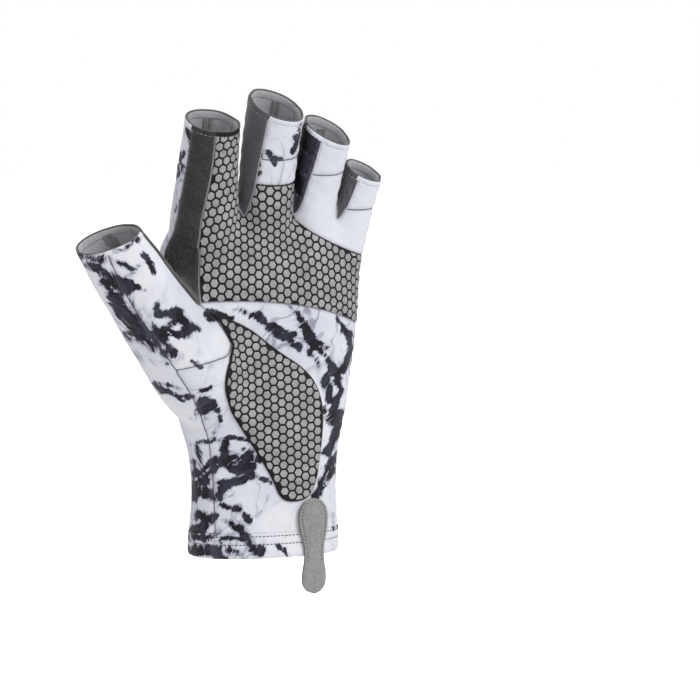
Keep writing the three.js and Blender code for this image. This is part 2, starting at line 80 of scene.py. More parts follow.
# Thumb: place along it, width, depth over width, slant of the section in degrees
THUMB_ROWS = [
    (0.0, 1.17, 0.77, 0.0), (0.2, 1.33, 0.82, 0.0), (0.45, 1.25, 0.84, 0.0), (0.6, 1.2, 0.84, 2.0),
    (0.82, 1.1, 0.84, 8.0), (1.0, 1.0, 0.83, 14.0),
]
THUMB_LENGTH, THUMB_WIDTH = 94.5, 29.6
THUMB_SPREAD, THUMB_FORWARD, THUMB_ROLL = (math.radians(a) for a in (36.4, 9.5, 21.0))
THUMB_ROOT = np.array([-0.24 * PALM_BREADTH, -0.11 * PALM_DEPTH, 0.456 * CROTCH])
PALM_SQUARE, FINGER_SQUARE = 2.25, 2.15

BEND_START, BEND_RADIUS, BEND_FADE = 114.0, 200.0, 14.0
# Folds of the worn cloth: place, reach along and across, slope, depth, and 1 for the palm side or -1 for the back
FOLDS = [
    (-0.02, 0.65, 30, 18, -25, 1.7, 1), (-0.36, 0.6, 22, 12, 62, 1.3, 1), (-0.1, 0.2, 24, 12, 10, 1.1, 1),
    (0.24, 1.06, 12, 9, 4, 0.9, 1), (0.05, 0.29, 30, 13, -8, 1.3, -1),
    # finer ones that the part's source leaves to the scene
    (-0.3, 0.3, 12, 4, 38, 0.7, 1), (-0.34, 0.4, 14, 4, 30, 0.6, 1), (0.33, 0.45, 16, 5, -62, 0.6, 1),
    (0.23, 1.1, 9, 4, -12, 0.5, 1), (0.42, 1.03, 8, 4, 8, 0.5, 1), (-0.5, 0.92, 12, 5, 60, 0.6, 1),
    (0.2, 0.52, 26, 7, 24, 0.6, -1), (-0.1, 0.75, 28, 7, -30, 0.5, -1),
]

# Seams along a finger: place along it, and the two edges as angles round it. 0 is the little-finger side, 90 the
# back, 180 the thumb side and 270 the palm side.
WIDE_WALL = [(-0.16, 172, 188), (0.02, 160, 202), (0.25, 150, 222), (0.6, 144, 234), (1.3, 138, 244)]
NARROW_WALL = [(-0.12, 350, 370), (0.02, 345, 375), (1.3, 343, 377)]
INDEX_GUSSET = [(-0.2, 198, 243), (0.05, 198, 250), (0.45, 205, 261), (1.3, 205, 262)]
THUMB_GUSSET = [(0.5, 346, 395), (0.75, 348, 402), (1.3, 350, 408)]
THUMB_FRONT = [(0.38, 257, 346), (0.8, 255, 348), (1.0, 264, 350), (1.3, 272, 350)]
# Outlines seen from the palm side, as shares of the palm's breadth and the crotch's height
GUSSET_EDGE = -0.357
INDEX_GUSSET_FOOT = [(-0.355, 1.0), (-0.357, 0.931), (-0.449, 0.835), (-0.5, 0.825), (-0.466, 1.0)]
THUMB_GUSSET_FOOT = [(-0.355, 0.933), (-0.358, 0.759), (-0.41, 0.743), (-0.6, 0.856), (-0.6, 0.928)]
GRIP = [
    (-0.37, 1.021), (-0.362, 0.759), (-0.168, 0.76), (-0.004, 0.754), (0.164, 0.739), (0.321, 0.715), (0.56, 0.651),
    (0.56, 0.877), (0.427, 0.897), (0.281, 0.941), (0.167, 0.979), (0.1, 1.021),
]
RING_PINKY_FOOT = [(0.125, 0.918), (0.6, 0.795), (0.6, 1.0), (0.125, 1.0)]
THUMB_FRONT_FOOT = [
    (-0.36, 0.759), (-0.271, 0.703), (-0.209, 0.639), (-0.236, 0.606), (-0.408, 0.578), (-0.5, 0.567), (-0.583, 0.64),
    (-0.5, 0.774),
]
PALM_FRONT = [
    (-0.295, -0.129), (-0.281, 0.179), (-0.306, 0.369), (-0.398, 0.476), (-0.5, 0.565), (-0.36, 0.795), (0.6, 0.795),
    (0.6, -0.129),
]
HEEL_GRIP = [
    (-0.335, 0.735), (-0.145, 0.692), (0.0, 0.615), (0.15, 0.555), (0.225, 0.482), (0.242, 0.384), (0.207, 0.24),
    (0.178, 0.19), (0.135, 0.166), (0.045, 0.162), (0.003, 0.184), (-0.015, 0.222), (-0.085, 0.3), (-0.245, 0.46),
    (-0.278, 0.54), (-0.213, 0.635), (-0.27, 0.707),
]


def smooth_rows(rows, at):
    """The columns of a table, on a smooth line through its rows, at any values of its first column."""
    table = np.array(rows, float)
    known, values = table[:, 0], table[:, 1:]
    at = np.clip(np.asarray(at, float), known[0], known[-1])
    i = np.clip(np.searchsorted(known, at, side="right") - 1, 0, len(known) - 2)
    step = (known[i + 1] - known[i])[..., None]
    t = (at[..., None] - known[i][..., None]) / step
    slope = np.gradient(values, known, axis=0)
    low = (2 * t**3 - 3 * t**2 + 1) * values[i] + (t**3 - 2 * t**2 + t) * slope[i] * step
    high = (3 * t**2 - 2 * t**3) * values[i + 1] + (t**3 - t**2) * slope[i + 1] * step
    return np.moveaxis(low + high, -1, 0)


def turned(vector, axis, angle):
    """A vector turned about an axis, right-handed."""
    c, s = math.cos(angle), math.sin(angle)
    return vector * c + np.cross(axis, vector) * s + axis * (vector @ axis) * (1 - c)


X_AXIS, Y_AXIS = np.array([1.0, 0, 0]), np.array([0, 1.0, 0])
thumb_axis = np.array([
    -math.sin(THUMB_SPREAD) * math.cos(THUMB_FORWARD),
    -math.sin(THUMB_FORWARD),
    math.cos(THUMB_SPREAD) * math.cos(THUMB_FORWARD),
])
thumb_across = turned(np.array([math.cos(THUMB_SPREAD), 0, math.sin(THUMB_SPREAD)]), thumb_axis, -THUMB_ROLL)
thumb_back = np.cross(thumb_axis, thumb_across)


def palm_section(up):
    """Middle, sideways direction, half width and half depth of the palm at shares of the crotch's height."""
    up = np.asarray(up, float)
    aside, spread, deep, crest = smooth_rows(PALM_ROWS, up)
    middle = np.stack([aside * PALM_BREADTH, 0 * up, up * CROTCH], -1)
    width = CUFF_WIDTH + (PALM_BREADTH - CUFF_WIDTH) * spread
    depth = (CUFF_DEPTH + (PALM_DEPTH - CUFF_DEPTH) * deep) * crest
    return middle, np.broadcast_to(X_AXIS, middle.shape), Y_AXIS, width / 2, depth / 2, PALM_SQUARE


def crotch_of(name):
    """The height at which a finger starts."""
    return CROTCH * (1 - FINGERS[name][5])


def finger_section(name, along):
    """The same for a finger, at shares of its length."""
    length, width, root, lean, swell, _ = FINGERS[name]
    along = np.asarray(along, float)
    opened, thick = smooth_rows(FINGER_ROWS, along)
    middle = np.stack([(root + lean * along) * PALM_BREADTH, 0 * along, crotch_of(name) + along * length], -1)
    half_width = width * (swell + (1 - swell) * opened) / 2
    return middle, np.broadcast_to(X_AXIS, middle.shape), Y_AXIS, half_width, width * thick / 2, FINGER_SQUARE


def thumb_section(along):
    """The same for the thumb, whose sections are turned off square near its end."""
    along = np.asarray(along, float)
    wide, thick, slant = smooth_rows(THUMB_ROWS, along)
    slant = np.radians(slant)[..., None]
    middle = THUMB_ROOT + along[..., None] * THUMB_LENGTH * thumb_axis
    half_width = THUMB_WIDTH * wide / 2
    across = thumb_across * np.cos(slant) - thumb_axis * np.sin(slant)
    return middle, across, thumb_back, half_width, half_width * thick, FINGER_SQUARE


def section(name, share):
    """The same for any of them, by name."""
    if name == "palm":
        return palm_section(share)
    return thumb_section(share) if name == "thumb" else finger_section(name, share)


def length_of(name):
    """What the shares of the palm, a finger or the thumb are shares of."""
    return CROTCH if name == "palm" else THUMB_LENGTH if name == "thumb" else FINGERS[name][0]


def on_section(name, share, angle, grow=0.0):
    """Points at angles round a section, in degrees, moved out by a distance."""
    middle, across, back, half_width, half_depth, square = section(name, share)
    angle = np.radians(angle)
    c, s = np.cos(angle), np.sin(angle)
    x = np.sign(c) * np.abs(c) ** (2 / square) * (half_width + grow)
    y = np.sign(s) * np.abs(s) ** (2 / square) * (half_depth + grow)
    return middle + across * x[..., None] + back * y[..., None]


def rises(low, high, value):
    """A smooth step from 0 to 1."""
    t = np.clip((value - low) / (high - low), 0, 1)
    return t * t * (3 - 2 * t)


def bent(p):
    """The relaxed hand's place for points of the straight glove, with its folds."""
    y = p[:, 1].copy()
    for aside, up, long, wide, turn, deep, face in FOLDS:
        x, z = p[:, 0] - aside * PALM_BREADTH, p[:, 2] - up * CROTCH
        c, s = math.cos(math.radians(turn)), math.sin(math.radians(turn))
        along, across = (x * c + z * s) / long, (z * c - x * s) / wide
        facing = rises(0, PALM_DEPTH / 4, -p[:, 1] * face)
        y += face * deep * facing * np.exp(-(along**2) - across**2)
    middle, _, _, half_width, _, _ = finger_section("index", 0.0)
    strength = rises(middle[0] - half_width - BEND_FADE, middle[0] - half_width, p[:, 0])[:, None]
    angle = np.maximum(p[:, 2] - BEND_START, 0) / BEND_RADIUS
    target = np.stack([
        p[:, 0],
        y * np.cos(angle) - BEND_RADIUS * (1 - np.cos(angle)),
        np.minimum(p[:, 2], BEND_START) + (BEND_RADIUS + y) * np.sin(angle),
    ], -1)
    straight = np.stack([p[:, 0], y, p[:, 2]], -1)
    return straight + (target - straight) * strength


def unit(vectors):
    return vectors / np.linalg.norm(vectors, axis=1)[:, None]


def choose(piece=None):
    """Selects one object alone, or none."""
    bpy.ops.object.select_all(action="DESELECT")
    if piece is not None:
        piece.select_set(True)
        bpy.context.view_layer.objects.active = piece


def new_object(name, points, faces):
    """A mesh object from points in millimetres."""
    mesh = bpy.data.meshes.new(name)
    mesh.from_pydata((np.asarray(points) * MM).tolist(), [], [list(map(int, f)) for f in faces])
    mesh.update()
    made = bpy.data.objects.new(name, mesh)
    bpy.context.scene.collection.objects.link(made)
    return made


def face_outward(piece):
    """Turns a closed piece's faces outward."""
    choose(piece)
    bpy.ops.object.mode_set(mode="EDIT")
    bpy.ops.mesh.select_all(action="SELECT")
    bpy.ops.mesh.normals_make_consistent(inside=False)
    bpy.ops.object.mode_set(mode="OBJECT")


def clothe(piece, materials, index=None):
    """Gives a piece its materials, and its faces their numbers among them and smooth shading."""
    for material in materials:
        piece.data.materials.append(material)
    if index is not None:
        piece.data.polygons.foreach_set("material_index", np.asarray(index, np.int32).ravel())
    piece.data.polygons.foreach_set("use_smooth", np.ones(len(piece.data.polygons), bool))


def store(mesh, name, values):
    mesh.attributes.new(name, "FLOAT", "POINT").data.foreach_set("value", np.asarray(values, np.float32))


def loop_points(mesh):
    """The point number of each face corner."""
    order = np.empty(len(mesh.loops), int)
    mesh.loops.foreach_get("vertex_index", order)
    return order


def lay_out(mesh, flat):
    """Stores the flat places of the points, given in millimetres, as the cloth's own layout."""
    mesh.uv_layers.new(name="layout").data.foreach_set("uv", (flat[loop_points(mesh)] * MM).ravel())


def grid_quads(rows, columns, rows_close=True, columns_close=True):
    """Quads of a grid of points stored row by row, each way closed round or open."""
    row, column = np.meshgrid(
        np.arange(rows if rows_close else rows - 1), np.arange(columns if columns_close else columns - 1), indexing="ij"
    )
    next_row, next_column = (row + 1) % rows, (column + 1) % columns
    corners = (row, column), (row, next_column), (next_row, next_column), (next_row, column)
    return np.stack([r * columns + c for r, c in corners], -1).reshape(-1, 4)


# The order of a quad's corners with its other side out
FLIPPED = [0, 3, 2, 1]


def mesh_arrays(piece):
    """Points in millimetres and triangles of a mesh object."""
    mesh = piece.data
    mesh.calc_loop_triangles()
    points = np.empty(len(mesh.vertices) * 3)
    mesh.vertices.foreach_get("co", points)
    triangles = np.empty(len(mesh.loop_triangles) * 3, int)
    mesh.loop_triangles.foreach_get("vertices", triangles)
    return points.reshape(-1, 3) / MM, triangles.reshape(-1, 3)


# The whole glove's surface: closed tubes melted into one skin
VOXEL = 1.15
AROUND_PALM, AROUND_FINGER = 72, 44
# The fingers are spread while the skin is made, so that they don't melt into each other, and then brought back
SPREAD, SPREAD_FROM, MIDDLE_RANK = 0.13, CROTCH - 2, 1.5
RING_STEP, FEWEST_RINGS = 3, 8
# Smoothing of the skin: its rounds, with the two steps of each. Then how hollow an inner corner is, how its zone
# grows and fades, and the rounds and the step that round it.
SKIN_ROUNDS, SKIN_STEPS = 14, (0.6, -0.62)
HOLLOW_FROM, HOLLOW_FULL = 0.02, 0.07
ZONE_ROUNDS, ZONE_GROWTH, ZONE_FADES = 4, 1.6, 5
CORNER_ROUNDS, CORNER_STEP = 44, 0.5


def tube(name, low, high, around):
    """Rings of a closed tube between two shares, with its faces."""
    shares = np.linspace(low, high, max(FEWEST_RINGS, int((high - low) * length_of(name) / RING_STEP)))
    angles = np.arange(around) * 360 / around
    points = on_section(name, shares[:, None] + 0 * angles, angles + 0 * shares[:, None]).reshape(-1, 3)
    quads = grid_quads(len(shares), around, rows_close=False).tolist()
    last = (len(shares) - 1) * around
    return points, quads + [list(range(around))[::-1], list(range(last, last + around))]


def glove_skin():
    """Points and triangles of the straight glove's closed outer surface."""
    points, faces = [], []
    spans = {"palm": (-OVERRUN / CROTCH, PALM_ROWS[-1][0])}
    spans |= {name: (FINGER_ROWS[0][0], 1 + OVERRUN / length_of(name)) for name in FINGERS}
    spans["thumb"] = (0.0, 1 + OVERRUN / THUMB_LENGTH)
    for name, (low, high) in spans.items():
        start = len(points)
        ring, quads = tube(name, low, high, AROUND_PALM if name == "palm" else AROUND_FINGER)
        if name in FINGERS:
            ring[:, 0] += (list(FINGERS).index(name) - MIDDLE_RANK) * SPREAD * np.maximum(ring[:, 2] - SPREAD_FROM, 0)
        points.extend(ring.tolist())
        faces.extend([[i + start for i in face] for face in quads])
    form = new_object("form", points, faces)
    remesh = form.modifiers.new("melt", "REMESH")
    remesh.mode = "VOXEL"
    remesh.voxel_size = VOXEL * MM
    choose(form)
    bpy.ops.object.modifier_apply(modifier=remesh.name)
    points, triangles = mesh_arrays(form)
    bpy.data.objects.remove(form)
    above = SPREAD * np.maximum(points[:, 2] - SPREAD_FROM, 0)
    rank = np.zeros(len(points)) - MIDDLE_RANK
    for i, (first, second) in enumerate(zip(list(FINGERS), list(FINGERS)[1:])):
        rank += points[:, 0] > between_fingers(first, second, points) + (i + 0.5 - MIDDLE_RANK) * above
    points[:, 0] -= rank * above
    return points, triangles


def sides_of(triangles):
    return np.concatenate([triangles[:, [0, 1]], triangles[:, [1, 2]], triangles[:, [2, 0]]])


def edges_of(triangles):
    return np.unique(np.sort(sides_of(triangles), 1), axis=0)


def neighbour_means(points, edges):
    """The mean of each point's neighbours."""
    count = np.bincount(edges.ravel(), minlength=len(points))
    first, second = edges.T
    total = np.stack([
        np.bincount(first, column[second], len(points)) + np.bincount(second, column[first], len(points))
        for column in points.T
    ], -1)
    return total / np.maximum(count, 1)[:, None]


def normals_of(points, triangles):
    a, b, c = (points[triangles[:, k]] for k in range(3))
    face = np.cross(b - a, c - a)
    total = np.stack([sum(np.bincount(corner, part, len(points)) for corner in triangles.T) for part in face.T], -1)
    return total / np.maximum(np.linalg.norm(total, axis=1), 1e-12)[:, None]


def softened(points, triangles):
    """Takes the steps off the skin, and rounds the inner corners between the fingers and beside the thumb."""
    edges = edges_of(triangles)
    for _ in range(SKIN_ROUNDS):
        for step in SKIN_STEPS:
            points = points + step * (neighbour_means(points, edges) - points)
    hollow = ((neighbour_means(points, edges) - points) * normals_of(points, triangles)).sum(1)
    zone = rises(HOLLOW_FROM, HOLLOW_FULL, hollow)[:, None]
    for _ in range(ZONE_ROUNDS):
        zone = np.maximum(zone, neighbour_means(zone, edges) * ZONE_GROWTH).clip(0, 1)
    for _ in range(ZONE_FADES):
        zone = neighbour_means(zone, edges)
    for _ in range(CORNER_ROUNDS):
        points = points + CORNER_STEP * zone * (neighbour_means(points, edges) - points)
    return points


def wrapped(angle):
    """An angle in degrees, brought between -180 and 180."""
    return (angle + 180) % 360 - 180


def around(name, p):
    """Share along a finger or the thumb, angle round it, distance out as a share of its section, and half width."""
    if name == "thumb":
        offset = p - THUMB_ROOT
        aside = offset @ thumb_across
        share = offset @ thumb_axis / THUMB_LENGTH
        for _ in range(3):
            slant = np.tan(np.radians(smooth_rows(THUMB_ROWS, share)[2]))
            share = (offset @ thumb_axis + slant * aside) / THUMB_LENGTH
    else:
        share = (p[:, 2] - crotch_of(name)) / length_of(name)
    middle, across, back, half_width, half_depth, square = section(name, share)
    x = ((p - middle) * across).sum(1) / half_width
    y = (p - middle) @ back / half_depth
    x, y = (np.abs(v) ** (square / 2) * np.sign(v) for v in (x, y))
    return share, np.degrees(np.arctan2(y, x)) % 360, np.hypot(x, y) ** (2 / square), half_width


def between_fingers(first, second, p):
    """The x of the line midway between two neighbouring fingers, at the height of each point."""
    at = []
    for name, side in ((first, 1), (second, -1)):
        share = np.maximum(p[:, 2] - crotch_of(name), 0) / length_of(name)
        middle, _, _, half_width, _, _ = finger_section(name, share)
        at.append(middle[:, 0] + side * half_width)
    return (at[0] + at[1]) / 2


FAR = 99.0


def own_side(name, p):
    """How far inside a finger's own space a point is, between the lines midway to its neighbours."""
    names = list(FINGERS)
    i = names.index(name)
    room = np.full(len(p), FAR)
    if i > 0:
        room = np.minimum(room, p[:, 0] - between_fingers(names[i - 1], name, p))
    if i < len(names) - 1:
        room = np.minimum(room, between_fingers(name, names[i + 1], p) - p[:, 0])
    return room


# How far out of a finger, in its half widths, the field of a wall still acts
ANY_REACH, INDEX_GUSSET_REACH, THUMB_GUSSET_REACH, THUMB_FRONT_REACH = 9.0, 1.25, 1.8, 1.3


def wall(name, rows, p, reach=ANY_REACH):
    """How far inside a wall on a finger or the thumb each point is, in millimetres."""
    share, angle, out, half_width = around(name, p)
    start, end = smooth_rows(rows, share)
    off = np.abs(wrapped(angle - (start + end) / 2))
    inside = np.radians((end - start) / 2 - off) * half_width
    low = (share - rows[0][0]) * length_of(name)
    high = (rows[-1][0] - share) * length_of(name)
    return np.minimum.reduce([inside, low, high, (reach - out) * half_width])


def band(name, start, end, low, high, p):
    """The same for the piece of a finger between two shares of its length."""
    return np.minimum(wall(name, [(low, start, end), (high, start, end)], p), own_side(name, p))


# Corners that turn by more degrees than this stay sharp
SHARP_CORNER = 48


def eased(rows):
    """An outline in millimetres with its gentle corners cut off, and its sharp ones kept."""
    points = np.array(rows, float) * [PALM_BREADTH, CROTCH]
    for _ in range(3):
        before, after = np.roll(points, 1, 0) - points, np.roll(points, -1, 0) - points
        made = []
        for point, a, b in zip(points, before, after):
            turn = 180 - math.degrees(math.acos(np.clip(a @ b / np.linalg.norm(a) / np.linalg.norm(b), -1, 1)))
            made += [point] if turn > SHARP_CORNER or turn < 1 else [point + a / 4, point + b / 4]
        points = np.array(made)
    return points


def off_edges(outline, flat):
    """Each flat point's place from the nearest point of each edge of a closed outline."""
    edge = np.roll(outline, -1, 0) - outline
    offset = flat[:, None] - outline
    t = np.clip((offset * edge).sum(-1) / (edge * edge).sum(-1), 0, 1)
    return offset - t[..., None] * edge


def in_outline(outline, flat):
    """Signed distance of flat points to a closed outline, positive inside."""
    distance = np.linalg.norm(off_edges(outline, flat), axis=-1).min(1)
    a, e = outline, np.roll(outline, -1, 0) - outline
    b = a + e
    straddles = (a[:, 1] <= flat[:, None, 1]) != (b[:, 1] <= flat[:, None, 1])
    slope = e[:, 0] / np.where(np.abs(e[:, 1]) < 1e-9, 1e-9, e[:, 1])
    left = flat[:, None, 0] < (flat[:, None, 1] - a[:, 1]) * slope + a[:, 0]
    return np.where((straddles & left).sum(1) % 2 == 1, distance, -distance)


def on_front(rows, p):
    """How far inside an outline on the palm side each point is."""
    return np.minimum(in_outline(eased(rows), p[:, [0, 2]]), SIDE_SEAM_Y - p[:, 1])


WALL_LEAN = 0.06


def fourchette(before, after, p):
    """The wall between two fingers: the thumb side of one and the little-finger side of the one before."""
    beyond = p[:, 0] > between_fingers(before, after, p)
    joined = np.where(beyond, wall(after, WIDE_WALL, p), wall(before, NARROW_WALL, p))
    left, right = (finger_section(n, 0.0)[0][0] for n in (before, after))
    return np.minimum.reduce([joined, p[:, 0] - left, right - p[:, 0] + WALL_LEAN * (p[:, 2] - CROTCH)])


# How the worn openings fall: slope towards the little finger, slope towards the palm, and drop in the middle
END_SLANT = {
    "index": (0.05, 0.1, 0.3), "middle": (0.23, 0.2, 1.0), "ring": (0.35, 0.22, 0.4), "pinky": (0.31, 0.26, -0.3),
}
# Drop of the thumb's opening, and how far from its middle, in half widths, the cut still acts
THUMB_DROP, THUMB_REACH = 0.7, 1.6


def beyond_ends(p):
    """Positive on what is cut off: below the hem's top, and past the rims' lower edges."""
    cut = HEM_HEIGHT - p[:, 2]
    for name, (slope, nod, drop) in END_SLANT.items():
        share, _, _, _ = around(name, p)
        aside = p[:, 0] - section(name, share)[0][:, 0]
        past = (share - 1) * length_of(name) + RIM_HEIGHT + drop + slope * aside - nod * p[:, 1]
        cut = np.maximum(cut, np.minimum(past, own_side(name, p)))
    share, _, out, _ = around("thumb", p)
    past = (share - 1) * THUMB_LENGTH + RIM_HEIGHT + THUMB_DROP
    return np.maximum(cut, np.minimum(past, (THUMB_REACH - out) * THUMB_WIDTH))


# A share of a finger that is surely past its cut end
PAST_END = 1.3
# Pieces of a finger: its name, their two edges as angles, and their two ends as shares of its length
BANDS = {
    "index_tip_back": ("index", 10, 215, 0.55, PAST_END),
    "middle_tip_back": ("middle", 5, 170, 0.59, PAST_END),
    "ring_tip_back": ("ring", 5, 170, 0.47, PAST_END),
    "pinky_tip_back": ("pinky", -10, 170, 0.42, PAST_END),
    "middle_tip_front": ("middle", 190, 355, 0.57, PAST_END),
    "middle_band": ("middle", 190, 355, 0.345, 0.57),
    "ring_tip_front": ("ring", 190, 355, 0.545, PAST_END),
    "pinky_tip_front": ("pinky", 190, 355, 0.37, PAST_END),
}
GRIP_BANDS = [("index", 215, 362, -0.3, PAST_END), ("middle", 190, 355, -0.2, 0.4)]
RING_PINKY_BANDS = [("ring", 190, 355, -0.2, 0.6), ("pinky", 190, 349, -0.2, 0.5)]


def thumb_front(p):
    return np.maximum(wall("thumb", THUMB_FRONT, p, THUMB_FRONT_REACH), on_front(THUMB_FRONT_FOOT, p))


def index_gusset(p):
    on_finger = np.minimum(wall("index", INDEX_GUSSET, p, INDEX_GUSSET_REACH), own_side("index", p))
    return np.maximum(on_finger, on_front(INDEX_GUSSET_FOOT, p))


def thumb_gusset(p):
    on_thumb = np.minimum(wall("thumb", THUMB_GUSSET, p, THUMB_GUSSET_REACH), GUSSET_EDGE * PALM_BREADTH - p[:, 0])
    return np.maximum(on_thumb, on_front(THUMB_GUSSET_FOOT, p))


def joined_front(foot, bands, p):
    """A piece of the palm that runs up the fronts of its fingers."""
    return np.maximum.reduce([on_front(foot, p), *(band(*row, p) for row in bands)])


# The sewn panels, in the order in which they are cut, each with the field that is positive inside it
PANELS = {
    "off": beyond_ends,
    "fourchette_index_middle": lambda p: fourchette("index", "middle", p),
    "fourchette_middle_ring": lambda p: fourchette("middle", "ring", p),
    "fourchette_ring_pinky": lambda p: fourchette("ring", "pinky", p),
    "thumb_panel": thumb_front,
    "index_gusset": index_gusset,
    "thumb_gusset": thumb_gusset,
    **{name: lambda p, row=row: band(*row, p) for name, row in BANDS.items()},
    "palm_grip": lambda p: joined_front(GRIP, GRIP_BANDS, p),
    "ring_pinky_front": lambda p: joined_front(RING_PINKY_FOOT, RING_PINKY_BANDS, p),
    "palm_panel": lambda p: on_front(PALM_FRONT, p),
}
NAMES = [*PANELS, "back_panel"]
REST = NAMES.index("back_panel")
# A point nearer to a cut than this share of its edge is moved onto it
SNAP = 0.22


def cut(points, triangles, label, field, mark):
    """Cuts what is left of the cloth along a field's zero line, and labels the side where it is positive."""
    value = field(points)
    rest = triangles[label == REST]
    edges = edges_of(rest)
    for _ in range(2):
        a, b = edges[:, 0], edges[:, 1]
        crossing = edges[(value[a] * value[b]) < 0]
        a, b = crossing[:, 0], crossing[:, 1]
        t = value[a] / (value[a] - value[b])
        for end, other, near in ((a, b, t), (b, a, 1 - t)):
            close = near < SNAP
            target = points[end[close]] + (points[other[close]] - points[end[close]]) * near[close][:, None]
            points[end[close]] = target
            value[end[close]] = 0
    a, b = edges[:, 0], edges[:, 1]
    crossing = edges[(value[a] * value[b]) < 0]
    a, b = crossing[:, 0], crossing[:, 1]
    t = (value[a] / (value[a] - value[b]))[:, None]
    new = len(points) + np.arange(len(crossing))
    points = np.concatenate([points, points[a] + (points[b] - points[a]) * t])
    value = np.concatenate([value, np.zeros(len(crossing))])
    total = len(points)
    keys = a.astype(np.int64) * total + b
    order = np.argsort(keys)
    keys, new = keys[order], new[order]

    def split_at(first, second):
        key = np.minimum(first, second).astype(np.int64) * total + np.maximum(first, second)
        place = np.clip(np.searchsorted(keys, key), 0, max(len(keys) - 1, 0))
        return np.where(keys[place] == key, new[place], -1) if len(keys) else np.full(len(key), -1)

    splits = np.stack([split_at(triangles[:, k], triangles[:, (k + 1) % 3]) for k in range(3)], -1)
    count = (splits >= 0).sum(1)
    kept, marks = [triangles[count == 0]], [label[count == 0]]
    for k in range(3):
        one = (count == 1) & (splits[:, k] >= 0)
        a, b, c = (triangles[one][:, (k + j) % 3] for j in range(3))
        n = splits[one][:, k]
        kept += [np.stack([a, n, c], -1), np.stack([n, b, c], -1)]
        marks += [label[one]] * 2
        two = (count == 2) & (splits[:, (k + 2) % 3] < 0)
        a, b, c = (triangles[two][:, (k + j) % 3] for j in range(3))
        n, m = splits[two][:, k], splits[two][:, (k + 1) % 3]
        kept += [np.stack([n, b, m], -1), np.stack([a, n, m], -1), np.stack([a, m, c], -1)]
        marks += [label[two]] * 3
    triangles, label = np.concatenate(kept), np.concatenate(marks)
    inside = (label == REST) & (value[triangles].sum(1) > 0)
    label = np.where(inside, mark, label)
    return points, triangles, label


def face_pairs(triangles):
    """Pairs of triangles that share an edge, with that edge."""
    sides = np.sort(sides_of(triangles), 1)
    owner = np.tile(np.arange(len(triangles)), 3)
    order = np.lexsort((sides[:, 1], sides[:, 0]))
    sides, owner = sides[order], owner[order]
    same = (sides[1:] == sides[:-1]).all(1)
    return np.stack([owner[:-1][same], owner[1:][same]], -1), sides[:-1][same]


def tidied(triangles, label):
    """Gives slivers that a cut left apart from their panel to the panel that they touch most."""
    pairs, _ = face_pairs(triangles)
    for _ in range(3):
        group = np.arange(len(triangles))
        joined = pairs[label[pairs[:, 0]] == label[pairs[:, 1]]]
        while True:
            low = np.minimum(group[joined[:, 0]], group[joined[:, 1]])
            before = group.copy()
            np.minimum.at(group, joined[:, 0], low)
            np.minimum.at(group, joined[:, 1], low)
            group = group[group]
            if (group == before).all():
                break
        size = np.bincount(group, minlength=len(triangles))
        largest = np.zeros(len(NAMES), int)
        np.maximum.at(largest, label, size[group])
        small = (size[group] < largest[label] / 2) & (label != NAMES.index("off"))
        if not small.any():
            return label
        votes = {}
        for a, b in pairs[small[pairs[:, 0]] != small[pairs[:, 1]]]:
            inner, outer = (a, b) if small[a] else (b, a)
            votes.setdefault(group[inner], []).append(label[outer])
        for part, heard in votes.items():
            label = np.where(group == part, max(set(heard), key=heard.count), label)
    return label


SEAM_ROUNDS, SEAM_STEP, BESIDE_STEP = 6, 0.5, 0.35


def smooth_seams(points, triangles, label):
    """Draws the seam lines smoothly, with the cloth beside them following."""
    pairs, sides = face_pairs(triangles)
    seams = sides[label[pairs[:, 0]] != label[pairs[:, 1]]]
    on_seam = np.bincount(seams.ravel(), minlength=len(points))
    inner = (on_seam == 2)[:, None]
    edges = edges_of(triangles)
    free = np.zeros((len(points), 1), bool)
    free[np.unique(triangles)] = True
    free &= (on_seam == 0)[:, None]
    for _ in range(SEAM_ROUNDS):
        points = np.where(inner, points + SEAM_STEP * (neighbour_means(points, seams) - points), points)
        points = np.where(free, points + BESIDE_STEP * (neighbour_means(points, edges) - points), points)
    return points


def sewn_glove():
    """The straight glove's points, triangles and panel labels."""
    points, triangles = glove_skin()
    points = softened(points, triangles)
    label = np.full(len(triangles), REST)
    for name, field in PANELS.items():
        points, triangles, label = cut(points, triangles, label, field, NAMES.index(name))
    label = tidied(triangles, label)
    points = smooth_seams(points, triangles, label)
    kept = label != NAMES.index("off")
    return points, triangles[kept], label[kept]


straight, skin, label = sewn_glove()


# Materials. The shader helpers come first, then the effects that several cloths share, then the cloths.
# A distance in millimetres at which no seam marks the cloth
CLEAR = 9.0
# The print: its clouded ground, veins, hazy borders and ink, with the levels at which haze and ink start and are full
GROUND, INK = ((0.84, 0.85, 0.90), (0.70, 0.71, 0.80)), ((0.004, 0.004, 0.009), (0.032, 0.034, 0.056))
VEIN_COLOUR, HAZE_COLOUR, VEILED_COLOUR = (0.20, 0.20, 0.29), (0.30, 0.30, 0.42), (0.78, 0.79, 0.86)
HAZE_LEVELS, INK_LEVELS = (0.28, 0.7), (0.6, 0.76)
# Veins: where in the noise each kind runs, its width there and its strength
VEINS = ((0.5, 0.014, 1.0), (0.545, 0.009, 0.8), (0.43, 0.012, 0.7))
# How strongly the coarse and the fine grain tear the ink's edge
TORN, GRAIN, RAGGED = 0.7, 0.3, 3.4
SEAM_SHADE, SEAM_LINE, PIPING = (0.25, 0.25, 0.32), (0.05, 0.05, 0.07), (0.62, 0.62, 0.66)
# Distances to a seam, in millimetres, between which its line and its shade fade, and the same for its pale edge on
# printed and on plain cloth
LINE_FADE, SHADE_FADE, PALE_FADE, PIPING_FADE = (0.16, 0.42), (0.2, 2.2), (0.5, 1.2), (0.2, 0.6)
# Width in metres of a rib of the printed and of the plain knit
PRINTED_PITCH, PLAIN_PITCH = 0.0007, 0.0009


